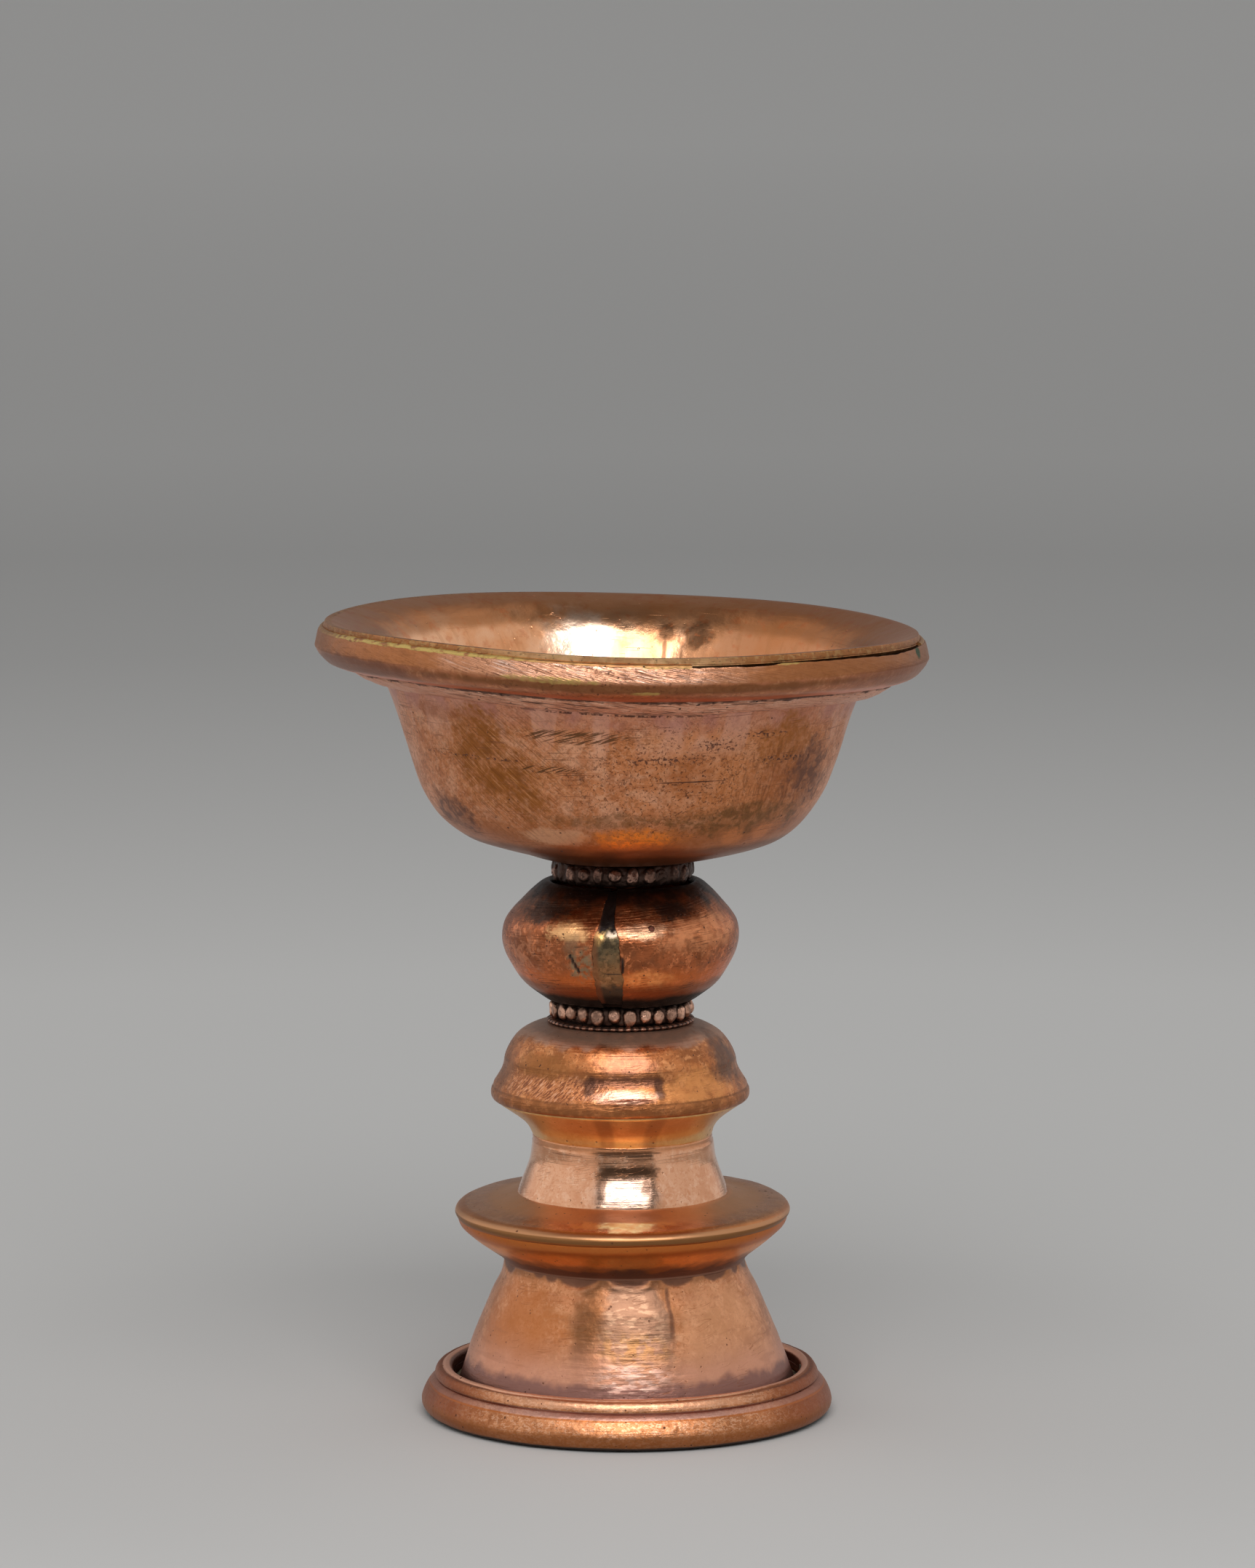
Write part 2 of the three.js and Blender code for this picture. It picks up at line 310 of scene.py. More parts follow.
def outlineOf(strokes, step, rounds):
    # the closed outline, softened in some rounds, and its sides: 0 outside, 1 inside, 0.5 on an edge
    lines = [(side, smoothLine(knots, step)) for side, knots in strokes]
    points = []
    sides = []
    for i, (side, line) in enumerate(lines):
        following = lines[(i + 1) % len(lines)][1]
        points.append(line)
        sides.append(np.full(len(line), float(side)))
        bridge = evenly(np.array([line[-1], following[0]]), step)[1:-1]
        points.append(bridge)
        sides.append(np.full(len(bridge), 0.5))
    points = np.vstack(points)
    for _ in range(rounds):
        points = (np.roll(points, 1, 0) + 2 * points + np.roll(points, -1, 0)) / 4
    return points, np.concatenate(sides)


# The stem isn't quite straight: how far it leans to the right at each level, in mm
stemLean = dict(
    levels=[0, 3, 6, 12, 15, 18, 20, 23.5, 26, 33.4, 34.6, 36, 38, 40, 44, 48, 58, 64, 68],
    shifts=[0.14, 0.14, 0.06, 0.03, -0.2, -0.24, -0.2, -0.2, -0.42, -0.46, -0.34, -0.34, -0.42, -0.42,
            -0.34, -0.16, -0.14, -0.28, -0.3],
)


def lean(height):
    return np.interp(height, stemLean["levels"], stemLean["shifts"])


def bent(x, low, high):
    # 0 at low and 1 at high, with soft ends
    u = np.clip((x - low) / (high - low), 0, 1)
    return u * u * (3 - 2 * u)


def hills(spots, size, seed):
    # smooth swells from -1 to 1
    flat = spots.reshape(-1, 3) / size + seed * 7.31
    return np.array([noise.noise(Vector(p)) for p in flat]).reshape(spots.shape[:-1])


def planished(spots, size, seed):
    # hammer marks: 0 in the middle of each blow, rising to its edges
    flat = spots.reshape(-1, 3) / size + seed * 5.17
    near = np.array([noise.voronoi(Vector(p))[0][0] for p in flat])
    return np.minimum(near, 0.9).reshape(spots.shape[:-1]) ** 2


def awayFrom(around, centre):
    # degrees from a centre, between -180 and 180
    return (around - centre + 180) % 360 - 180


def outwards(side, values):
    # the values on the outer face, and 0 on the edges and inside
    return np.where(side < 0.25, values, 0)


def turned(name, plan, strokes, shape=None, arc=None, rounds=2):
    # a closed outline taken round the stem, with the plan's step between its points and its number
    # of segments; shape says how far each point is pushed out of the surface, lifted and turned
    # along, and which marks it carries for the finish
    line, side = outlineOf(strokes, plan["step"], rounds)
    segments = plan["segments"]
    ahead = np.roll(line, -1, 0) - np.roll(line, 1, 0)
    ahead /= np.linalg.norm(ahead, axis=1)[:, None]
    outward = np.column_stack([ahead[:, 1], -ahead[:, 0]])
    start, stop = arc or (-180, 180)
    angles = np.linspace(start, stop, segments, endpoint=bool(arc))[:, None]
    level = np.broadcast_to(line[:, 1], (segments, len(line)))
    radius = np.broadcast_to(line[:, 0], level.shape)
    around = np.broadcast_to(angles, level.shape)
    radians = np.radians(around)
    spots = np.stack([radius * np.sin(radians), -radius * np.cos(radians), level], -1)
    made = shape(around, radius, level, np.broadcast_to(side, level.shape), spots) if shape else {}
    push = made.pop("push", 0.0)
    radius = radius + push * outward[:, 0]
    level = level + push * outward[:, 1] + made.pop("lift", 0.0)
    radians = np.radians(around + made.pop("turn", 0.0))
    x = radius * np.sin(radians) + lean(level)
    points = np.stack([x, -radius * np.cos(radians), level], -1).reshape(-1, 3) * mm
    across = len(line)
    rows = segments - 1 if arc else segments
    a = np.arange(rows)[:, None] * across
    b = (np.arange(1, rows + 1) % segments)[:, None] * across
    i = np.arange(across)[None, :]
    j = (i + 1) % across
    quads = np.stack([a + i, b + i, b + j, a + j], -1).reshape(-1, 4)
    faces = quads.tolist()
    if arc:
        faces.append(list(range(across)))
        faces.append([(segments - 1) * across + k for k in reversed(range(across))])
    mesh = bpy.data.meshes.new(name)
    mesh.from_pydata(points.tolist(), [], faces)
    made["side"] = np.broadcast_to(side, (segments, across))
    made["level"] = np.broadcast_to(line[:, 1], (segments, across))
    for key, values in made.items():
        attribute = mesh.attributes.new(key, "FLOAT", "POINT")
        attribute.data.foreach_set("value", np.ascontiguousarray(values, np.float32).ravel())
    mesh.shade_smooth()
    mesh.set_sharp_from_angle(angle=math.radians(sharpEdge))
    piece = bpy.data.objects.new(name, mesh)
    bpy.context.scene.collection.objects.link(piece)
    return piece


def raised(name, plan, shape):
    # a piece of sheet with its two faces
    return turned(name, plan, sheetOf(plan["wall"], plan["sheet"], plan["step"]), shape)


def drawn(name, plan, shape, arc=None, rounds=1):
    # a wire, a strip or a run of filler, with its face and its back
    return turned(name, plan, [(0, plan["face"]), (1, plan["back"])], shape, arc, rounds)


def fit(piece, node, finish):
    # the piece stands for its node, rides on the one body and gets its finish
    piece.data.materials.append(finish)
    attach(piece, "root")
    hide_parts(node)
    print("made", piece.name, len(piece.data.vertices), "points")


# Colours that several pieces share. All colours are 0 to 255, as seen under a plain white light

rust = (196, 98, 48)
brown = (150, 90, 54)
# the black of soot, also used as painted shade: the base ring's contact shadow and the dark of the open rim
# seam
sootAndShade = (40, 30, 26)


# The rim, which isn't level: it rises to the left and has small waves

rimWaves = dict(
    # how many waves in one turn, and how high each one is, in mm
    times=[1, 2, 3, 4],
    sine=[-0.60, 0.0, -0.03, -0.01],
    cosine=[0.03, 0.075, -0.085, -0.115],
    levels=(52, 63),     # no tilt at the lower level, all of it at the upper one
)


def sway(around, level):
    # how far the rim's unevenness lifts a point
    turn = np.radians(around)
    lift = 0
    for times, sine, cosine in zip(rimWaves["times"], rimWaves["sine"], rimWaves["cosine"]):
        lift = lift + sine * np.sin(times * turn) + cosine * np.cos(times * turn)
    return lift * bent(level, *rimWaves["levels"])


# Bowl

bowl = dict(
    wall=[(2, bowlFoot), (6.2, bowlFoot), (9.9, 48.9), (12, 49.5), (13.6, 50.1), (14.8, 50.95), (15.75, 52),
          (16.6, 53.2), (17.3, 54.5), (17.9, 56.2), (18.5, 58.1), (19.25, 60.6), (19.75, 62), (20.15, 63),
          (20.6, 63.9), (21.25, 65), (22.05, 66), (23.1, 66.78), (24.4, 67.32), (25.55, lipTop - 0.6)],
    sheet=0.7,
    step=0.33,
    segments=256,
    lipExtra=0.36,     # how much thicker the lip is at its edge
    blow=5.5,          # size of one hammer mark
    dent=0.10,
    swell=0.05,
    leftRise=0.28,     # how much higher the turn from floor to wall sits on the left
    copper=(228, 153, 108),
    rough=0.38,
    # shades all over: size, seed, low, high, detail, swirl, share, colour, roughness
    mottle=[(7, 2, 0.4, 0.62, 6, 0.0, 0.6, (206, 128, 78), 0.4),
            (2.6, 3, 0.48, 0.64, 8, 0.6, 0.6, (246, 184, 148), 0.36),
            (1.3, 4, 0.46, 0.62, 8, 0.8, 0.5, (190, 114, 70), 0.42),
            (0.5, 5, 0.49, 0.6, 5, 1.5, 0.4, (146, 88, 54), 0.44),
            (0.4, 8, 0.5, 0.62, 4, 1.0, 0.3, (252, 194, 156), 0.34)],
    # tarnish: middle in degrees round and mm up, half size, share, colour
    stains=[((-40, 59.0), (10, 3.4), 0.9, "ochre"), ((-30, 55.9), (9, 2.6), 0.85, "ochre"),
            ((45, 60.0), (9, 2.0), 0.8, "ochre"), ((48, 56.6), (11, 2.4), 0.5, "umber"),
            ((60, 56.0), (10, 3.2), 0.9, "plum"), ((36, 53.3), (22, 1.2), 0.85, "olive"),
            ((-60, 53.2), (9, 1.6), 0.9, "plum"), ((-6, 53.5), (19, 0.6), 0.6, "olive"),
            ((-51, 62.2), (8, 0.8), 0.5, "umber"), ((16, 57.5), (7, 1.6), 0.35, "umber"),
            ((130, 58), (22, 3.4), 0.7, "ochre"), ((-120, 56), (18, 2.6), 0.7, "umber"),
            ((175, 55), (20, 2.2), 0.6, "olive")],
    tarnish=dict(ochre=(166, 100, 46), umber=(160, 90, 50), plum=(118, 76, 60), olive=(128, 88, 52)),
    # rows of slanting cuts, and rows of dark specks: middle, half size, seed
    cuts=[((-13, 60.75), (14, 0.6), 21), ((-20, 57.85), (8.5, 0.34), 22)],
    specks=[((8, 58.7), (15, 0.3), 28), ((36, 60.6), (8, 0.3), 29), ((24, 59.9), (6, 0.5), 29.3),
            ((44, 58.3), (10, 0.35), 29.6), ((-44, 58.5), (16, 0.16), 29.8)],
    # dark blots inside, at the back: middle, half size, seed, share
    blots=[((170, 65.3), (2.2, 0.9), 38, 0.8), ((162, 65.0), (3.4, 1.1), 39, 0.9),
           ((170, 63.0), (0.5, 2.2), 40, 0.7), ((165.5, 62.5), (0.4, 2.0), 41, 0.6),
           ((-170, 63.5), (0.5, 1.6), 42, 0.5), ((-166, 64.5), (3, 0.5), 43, 0.5)],
)


def shapeBowl(around, radius, level, side, spots):
    inner = side > 0.5
    marks = planished(spots, bowl["blow"], 1) * np.where(inner, 1.3, 0.8)
    swells = hills(spots, 9, 2)
    push = bowl["dent"] * (marks - 0.25) + bowl["swell"] * swells * np.where(inner, -1, 1)
    edge = bent(level, 66.6, 67.6)
    left = bent(-np.sin(np.radians(around)), 0.1, 0.9)
    high = bowl["leftRise"] * left * bent(level, 52.5, 50.3) * bent(radius, 7, 10)
    thick = bowl["lipExtra"] * bent(radius, 23.9, 25.2) * bent(level, lipTop, lipTop - 0.5) * (side < 0.75)
    return {"push": push * (1 - edge), "lift": sway(around, level) + high - thick}


def tarnishBowl(skin, level):
    for size, seed, low, high, detail, swirl, share, colour, rough in bowl["mottle"]:
        skin.coat(skin.cloud(size, seed, low, high, detail=detail, swirl=swirl) * share, colour, rough)
    skin.coat(skin.patch((36, 56.8), (26, 5.5), 10.8, 0.6, 0.5, 3) * 0.4, (200, 122, 66), 0.38)
    # hammered facets just under the strip, and mauve between them
    facets = skin.cloud(2.4, 6, 0.47, 0.53, (1, 1, 0.15), 0)
    skin.coat(skin.ease(level, 58.5, 61.0) * facets * 0.4, (240, 184, 160), 0.33)
    skin.coat(skin.ease(level, 60.6, 62.4) * (0.35 + skin.cloud(2.2, 7) * 0.35), (190, 128, 116), 0.4)
    # brown low down, and a painted orange glow in front
    skin.coat(skin.below(52.8, 11, 1.0, 0.7) * 0.8, (176, 104, 58), 0.36)
    skin.coat(skin.stain((-22, 51.9), (9, 0.65), 12) * 0.8, (232, 172, 132), 0.34)
    for at, seed in (((36, 51.7), 13), ((48, 51.8), 13.5)):
        skin.coat(skin.patch(at, (4, 0.8), seed, 0.3, 0.3, 0.8) * 0.6, (226, 140, 84), 0.34)
    paintedGlow = 0.4 + skin.cloud(0.5, 15, 0.4, 0.6, detail=5) * 0.6
    skin.coat(skin.patch((3, 51.8), (12, 0.8), 14, 0.6, 0.8, 1.1) * paintedGlow, (255, 150, 62), 0.32)
    skin.coat(skin.below(50.7, 16, 0.3, 0.4) * 0.8, (128, 76, 46), 0.38)
    broken = 0.45 + skin.cloud(1.0, 17, 0.4, 0.58, detail=9, swirl=1.0) * 0.55
    for seed, (at, size, share, colour) in enumerate(bowl["stains"], 200):
        skin.coat(skin.stain(at, size, seed) * broken * share, bowl["tarnish"][colour], 0.42)


def scratchBowl(skin, level, outside):
    # fine scratches down to the right on the left side, and upright ones on the right
    left = skin.patch((-32, 57.5), (20, 5.5), 9, 0.5, 0.5)
    falling = skin.strokes(18.5, -42, 1.7, 0.13, 1)
    skin.coat(left * skin.ease(falling, 0.5, 0.62) * 0.45, (124, 74, 38), 0.42)
    skin.coat(left * skin.ease(falling, 0.44, 0.34) * 0.5, (232, 164, 112), 0.34)
    right = skin.patch((42, 56.5), (16, 3.5), 10, 0.5, 0.5)
    upright = skin.strokes(18.5, 88, 1.6, 0.24, 10.5)
    skin.coat(right * skin.ease(upright, 0.5, 0.62) * 0.4, (124, 74, 46), 0.42)
    # a dark broken line under the strip, scratches, and pits
    specks = skin.ease(abs(level - 62.8), 0.14, 0.04) * skin.cloud(0.4, 18, 0.46, 0.56, (1, 1, 0.5))
    skin.coat(specks * skin.patch((-4, 62.8), (22, 1), 19, 0.5, 0.6) * 0.9, (74, 46, 38), 0.5, 0.8)
    for at, size, seed in bowl["cuts"]:
        cuts = skin.ease(skin.strokes(18.8, 17, 1.5, 0.09, seed, 0.5), 0.5, 0.56)
        patch = skin.patch(at, size, seed, 0.25, 0.4, 0.9, -6.0)
        skin.coat(cuts * patch * 0.85, (98, 66, 38), 0.5, 0.8, -0.03)
    fine = skin.ease(skin.strokes(18, 1.5, 6, 0.08, 23, 1.0), 0.63, 0.69) * skin.cloud(3, 24, 0.46, 0.58)
    skin.coat(fine * 0.7, (110, 68, 48), 0.5, depth=-0.01)
    scratch = skin.patch((17.5, 56.85), (9, 0.05), 27, rag=0.5, grain=0.8)
    skin.coat(scratch * 0.9, (80, 52, 42), 0.6, 0.8, -0.02)
    for at, size, seed in bowl["specks"]:
        specks = skin.cloud(0.3, seed + 0.5, 0.52, 0.6, (1, 1, 1.6), 4)
        patch = skin.patch(at, size, seed, 0.3, 0.6, 0.8)
        skin.coat(patch * specks * 0.85, (88, 56, 48), 0.5, 0.8, -0.02)
    peppered = skin.patch((12, 57), (26, 4.5), 30.5, 0.7, 0.5) * 0.85 + 0.15
    pepper = skin.cloud(0.22, 31, 0.575, 0.66, detail=1, swirl=0.8)
    skin.coat(pepper * peppered * 0.75, (100, 62, 46), 0.5, depth=-0.01)
    skin.coat(skin.pits(0.7, 30) * skin.cloud(7, 31.5, 0.4, 0.55) * 0.9, (80, 52, 44), 0.6, 0.8, -0.03)
    skin.coat(skin.pits(0.42, 32, 0.26) * peppered * 0.85, (92, 58, 44), 0.6, 0.8, -0.02)
    skin.coat(skin.strokes(18, 2, 5, 0.16, 33) * outside, depth=0.010)
    skin.coat(skin.grain(1.6, 34, detail=5) * outside, depth=0.06)


def polishInside(skin, inside, level):
    # brighter and golden, brown on the brim and to the right
    skin.coat(inside, (248, 190, 148), 0.2)
    skin.coat(inside * skin.cloud(4, 35, 0.42, 0.62, detail=6) * 0.6, (232, 150, 92), 0.24)
    shaded = inside * skin.ease(skin.around, 172, 146) * skin.ease(skin.around, 50, 100)
    skin.coat(shaded * 0.7, (190, 116, 68), 0.28)
    brim = level + (skin.grain(4, 36, detail=4) - 0.5) * 1.6
    skin.coat(inside * skin.ease(brim, 66.0, 67.2) * 0.8, (190, 122, 74), 0.36)
    skin.coat(inside * skin.ease(brim, 65.4, 66.2) * skin.ease(brim, 67.2, 66.4) * 0.6, (150, 96, 56), 0.34)
    for at, size, seed, share in bowl["blots"]:
        blot = skin.patch(at, size, seed, 0.5, 1.0, 0.9) * share
        skin.coat(inside * skin.ease(level, 58, 59) * blot, (86, 56, 36), 0.36)
    skin.coat(inside * skin.cloud(0.8, 44, 0.52, 0.66) * 0.3, rust, 0.3)
    skin.coat(inside * skin.grain(1.8, 45, detail=5), depth=0.09)
    skin.coat(inside * skin.grain(4.5, 45.5, detail=2), depth=0.3)
    wisps = skin.ease(skin.strokes(18, 84, 3.0, 0.7, 45.7), 0.52, 0.62) * skin.ease(level, 67.0, 65.5)
    skin.coat(inside * wisps * 0.22, (176, 116, 70), 0.26)
    # a painted highlight: a near-white patch on the far wall inside
    skin.coat(inside * skin.patch((-168, 63.5), (8, 3), 45.9, 0.4, 0.6) * 0.7, (255, 228, 206), 0.2)


def fileLip(skin, outside, level):
    # the filed edge of the lip, and the open seam painted dark, a painted shade
    lip = skin.ease(level, lipTop - 0.72, lipTop - 0.62) * skin.ease(skin.reach, 24.9, 25.1)
    skin.coat(lip, (190, 126, 80), 0.38)
    skin.coat(lip * skin.ease(abs(skin.around + 3), 30, 12) * 0.8, (255, 204, 150), 0.32, 0.8)
    skin.coat(lip * skin.cloud(1.5, 46) * 0.6, (176, 118, 70), 0.4)
    skin.coat(lip * skin.cloud(0.5, 46.5, 0.5, 0.6, detail=5, swirl=1) * 0.5, (214, 172, 116), 0.4)
    skin.coat(lip * skin.ease(skin.strokes(25.6, -4, 1.6, 0.1, 47), 0.58, 0.68) * 0.6, (124, 82, 54), 0.45)
    skin.coat(lip * skin.cloud(0.3, 48, 0.58, 0.68) * 0.6, (104, 80, 66), 0.45)
    crest = skin.ease(level, lipTop - 0.1, lipTop - 0.03) * skin.ease(abs(skin.around), 45, 25)
    skin.coat(lip * crest * 0.7, (116, 74, 46), 0.45)
    seam = skin.ease(skin.around, 10, 14) * skin.ease(skin.around, 79, 75) * outside
    seam = seam * skin.ease(level, 66.2, 66.8) * skin.ease(level, lipTop - 0.6, lipTop - 0.68)
    skin.coat(seam, sootAndShade, 0.8, 0.3)


def finishBowl():
    skin = Skin("bowl copper", bowl["copper"], bowl["rough"])
    inside = skin.mark("side")
    outside = skin.ease(inside, 0.3, 0.2)
    level = skin.mark("level")
    tarnishBowl(skin, level)
    scratchBowl(skin, level, outside)
    polishInside(skin, inside, level)
    fileLip(skin, outside, level)
    return skin.done()


piece = raised("raised_bowl", bowl, shapeBowl)
fit(piece, "bowl", finishBowl())


# Rim band: the ring that is wrapped round the lip and filed to a ridge

rimBand = dict(
    under=[(23.2, 64.35), (24.3, 64.66), (25.25, 65.0), (25.8, 65.5), (26.15, 66.15)],
    bevel=[(26.15, 66.15), (26.0, 66.85), (25.8, 67.57)],
    back=[(25.68, 67.54), (25.3, 67.2), (24.4, 66.86), (23.3, 66.4), (22.9, 65.9), (22.9, 64.8)],
    # how far the seam with the lip stands open, in mm at degrees round
    gapAt=[-10, -7, 0, 3, 11, 14, 20, 26, 29, 30.5, 34, 36, 45, 53, 58, 65, 70, 77],
    gapDrop=[0, 0.06, 0.07, 0, 0, 0.06, 0.07, 0.12, 0.1, 0, 0, 0.06, 0.08, 0.11, 0.17, 0.19, 0.1, 0],
    waver=0.03,
    step=0.13,
    segments=384,
    # the underside hangs lower at the two sides than in front, most of all on the right
    sag=0.2,
    sagRight=0.06,
    sagLevels=(65.4, 64.6),
    copper=(216, 146, 102),
    light=(234, 164, 118),
    dark=(174, 108, 66),
    rough=0.34,
    # yellow filler smeared over the copper: middle, half size, seed
    smears=[((-14.5, 66.2), (8.5, 0.26), 66), ((3.4, 65.35), (2.4, 0.14), 67),
            ((32, 67.5), (2.6, 0.12), 68), ((7.5, 67.5), (4, 0.1), 69)],
    filler=(200, 168, 100),
)


def sag(around, level):
    share = np.sin(np.radians(around))
    amount = (rimBand["sag"] + rimBand["sagRight"] * share) * share ** 2
    return amount * bent(level, *rimBand["sagLevels"])


def shapeRimBand(around, radius, level, side, spots):
    drop = np.interp(around, rimBand["gapAt"], rimBand["gapDrop"]) * (1 + 0.5 * hills(spots, 0.9, 4))
    lift = sway(around, level) - drop * bent(level, 66.8, 67.3) - sag(around, level)
    filed = hills(spots * (1, 1, 3), 1.1, 7) * bent(level, 66.2, 66.6) * 0.035
    push = rimBand["waver"] * hills(spots, 2.6, 5) + 0.05 * hills(spots, 8, 6) + filed
    return {"push": push, "lift": lift}


def finishRimBand():
    skin = Skin("rim band copper", rimBand["copper"], rimBand["rough"])
    skin.height = skin.mark("level")
    upper = skin.ease(skin.height, 66.0, 66.4)
    front = skin.patch((-6, 67), (25, 3), 51, 0.5, 0.4)
    skin.coat(1 - upper, (196, 126, 90), 0.38)
    skin.worn(rimBand["light"], rimBand["dark"], 52, 0.5, 0.05)
    skin.coat((1 - front) * upper * 0.75, (168, 106, 64), 0.38)
    skin.coat(skin.ease(skin.around, 18, 50) * upper * 0.5, (156, 100, 62), 0.38)
    # painted highlight: the upper bevel paler in front
    skin.coat(upper * front * 0.6, (250, 188, 156), 0.3)
    skin.coat(skin.patch((4, 65.65), (44, 0.4), 56, rag=0.5) * 0.8, (132, 84, 52), 0.4)
    skin.coat(skin.patch((-62, 65.4), (22, 0.9), 57, rag=0.5) * 0.75, (124, 82, 66), 0.4)
    skin.coat(skin.patch((66, 65.6), (20, 0.8), 58, rag=0.5) * 0.6, (138, 84, 60), 0.4)
    skin.coat(skin.below(64.8, 59, 0.2, 0.3, 1.5) * 0.8, (226, 116, 56), 0.32)
    # file marks, slanting down to the right, most of them in front
    marks = skin.strokes(26, -11, 2.0, 0.08, 61)
    coarse = skin.strokes(26, -15, 3.0, 0.2, 62)
    deep = 0.2 + front * 0.8
    skin.coat(skin.ease(marks, 0.57, 0.66) * upper * deep * 0.7, (118, 72, 52), 0.42)
    skin.coat(skin.ease(coarse, 0.58, 0.66) * upper * deep * 0.75, (104, 64, 46), 0.45)
    # painted glints: the file marks bright in front
    skin.coat(skin.ease(marks, 0.44, 0.34) * upper * front * 0.6, (255, 226, 210), 0.24)
    skin.coat(marks * deep * (0.3 + upper), depth=0.07)
    skin.coat(coarse * upper * deep, depth=0.10)
    skin.coat(skin.strokes(26, 3, 4, 0.2, 63), depth=0.02)
    skin.coat(skin.cloud(0.4, 64, 0.56, 0.68, detail=2) * deep * 0.55, (104, 64, 44), 0.5, depth=-0.02)
    skin.coat(skin.pits(0.6, 65) * deep * 0.8, (80, 50, 38), 0.5, depth=-0.02)
    for at, size, seed in rimBand["smears"]:
        torn = 0.5 + skin.cloud(0.5, seed + 0.5, 0.4, 0.56, detail=5) * 0.5
        smear = skin.patch(at, size, seed, 0.3, 1.0, 0.7) * torn
        skin.coat(smear * 0.85, rimBand["filler"], 0.42)
    # a green spot, and the face that lies against the lip painted dark, a painted shade between the two
    skin.coat(skin.patch((74, 67.2), (1.4, 0.5), 72), (60, 74, 50), 0.6, 0.5)
    skin.coat(skin.ease(skin.mark("side"), 0.2, 0.4), sootAndShade, 0.8, 0.3)
    return skin.done()


strokes = [(0, rimBand["under"]), (0, rimBand["bevel"]), (1, rimBand["back"])]
piece = turned("filed_rim_band", rimBand, strokes, shapeRimBand, rounds=1)
fit(piece, "rim_band", finishRimBand())


# Flat strip from the bowl's wall out to the band. Its ends run on under the two

underStrip = dict(
    face=[(20.12, 62.9), (20.9, 63.12), (21.8, 63.5), (22.6, 63.92), (23.2, 64.32)],
    back=[(23.2, 64.85), (22.2, 64.5), (21.2, 64.0), (20.6, 63.5)],
    waver=0.06,
    step=0.14,
    segments=320,
    copper=(250, 194, 162),
    light=(255, 210, 184),
    dark=(214, 146, 112),
    rough=0.42,
)


def shapeUnderStrip(around, radius, level, side, spots):
    torn = hills(spots * (1, 1, 2.5), 0.7, 10)
    push = underStrip["waver"] * (hills(spots, 1.4, 8) + hills(spots, 4, 9) + torn)
    hang = sag(around, level) * (0.45 + 0.55 * bent(radius, 20.1, 21.6))
    return {"push": push, "lift": sway(around, level) - hang}


def finishUnderStrip():
    skin = Skin("under strip copper", underStrip["copper"], underStrip["rough"], 0.7)
    skin.height = skin.mark("level")
    skin.worn(underStrip["light"], underStrip["dark"], 71, 0.6, 0.04)
    marks = skin.strokes(21.5, -7, 1.8, 0.07, 72)
    coarse = skin.strokes(21.5, -4, 3.4, 0.15, 76)
    skin.coat(marks, depth=0.12)
    skin.coat(coarse, depth=0.18)
    torn = skin.patch((-6, 63.6), (34, 2), 77, 0.6, 0.6) * 0.6 + 0.4
    skin.coat(skin.ease(marks, 0.55, 0.62) * torn * 0.65, (124, 76, 58), 0.5, 0.8)
    skin.coat(skin.ease(coarse, 0.57, 0.63) * torn * 0.8, (74, 48, 40), 0.5, 0.8)
    skin.coat(skin.below(63.0, 73, 0.05, 0.24, 0.5) * 0.8, (90, 56, 44), 0.6, 0.7)
    skin.coat(skin.ease(abs(skin.around), 22, 50) * 0.6, (206, 134, 100), 0.42)
    upper = skin.above(64.16, 74, 0.06, 0.24, 0.5) * (0.3 + skin.cloud(1.5, 74.5, 0.42, 0.56) * 0.6)
    skin.coat(upper, (84, 54, 42), 0.6, 0.7)
    skin.coat(skin.pits(0.5, 75, 0.3), (60, 40, 34), 0.7, 0.6, -0.05)
    return skin.done()


piece = drawn("strip_under_rim", underStrip, shapeUnderStrip)
fit(piece, "rim_underwire", finishUnderStrip())


# Brass filler in the seam between lip and band: thick on the left, gone where the seam has opened

rimSeam = dict(
    arc=(80, 373),      # degrees round, so that there is none at the front right
    face=[(25.79, 67.42), (25.75, 67.58), (25.63, 67.73), (25.43, 67.8)],
    back=[(25.35, 67.72), (25.44, 67.42)],
    # how far it stands out, in mm at degrees round
    thickAt=[80, 110, 150, 250, 285, 296, 310, 324, 338, 343, 352, 373],
    thick=[0.0, 0.03, 0.04, 0.03, 0.03, 0.05, 0.05, 0.05, 0.02, 0.01, 0.0, -0.06],
    step=0.09,
    segments=420,
    dull=(178, 124, 84),
    bright=(202, 172, 98),
    rough=0.4,
)


def shapeRimSeam(around, radius, level, side, spots):
    thick = np.interp(around, rimSeam["thickAt"], rimSeam["thick"])
    push = thick * (0.7 + 1.4 * hills(spots, 0.7, 11))
    return {"push": push, "lift": sway(around, level)}


def finishRimSeam():
    skin = Skin("rim brass", rimSeam["dull"], rimSeam["rough"])
    bright = skin.ease(skin.around, -74, -66) * skin.ease(skin.around, -14, -24)
    torn = skin.cloud(0.9, 81, 0.37, 0.5, (1, 1, 2), 6)
    skin.coat(torn * (0.2 + bright * 0.75), rimSeam["bright"], 0.42, 0.6)
    skin.coat(skin.cloud(0.5, 82, 0.5, 0.6) * 0.4, (150, 108, 64), 0.45)
    skin.coat(skin.strokes(25.7, 5, 2, 0.1, 83), depth=0.03)
    skin.coat(skin.pits(0.4, 84), sootAndShade, 0.7, 0.6, -0.03)
    return skin.done()


piece = drawn("brass_rim_seam", rimSeam, shapeRimSeam, rimSeam["arc"])
fit(piece, "rim_braze", finishRimSeam())
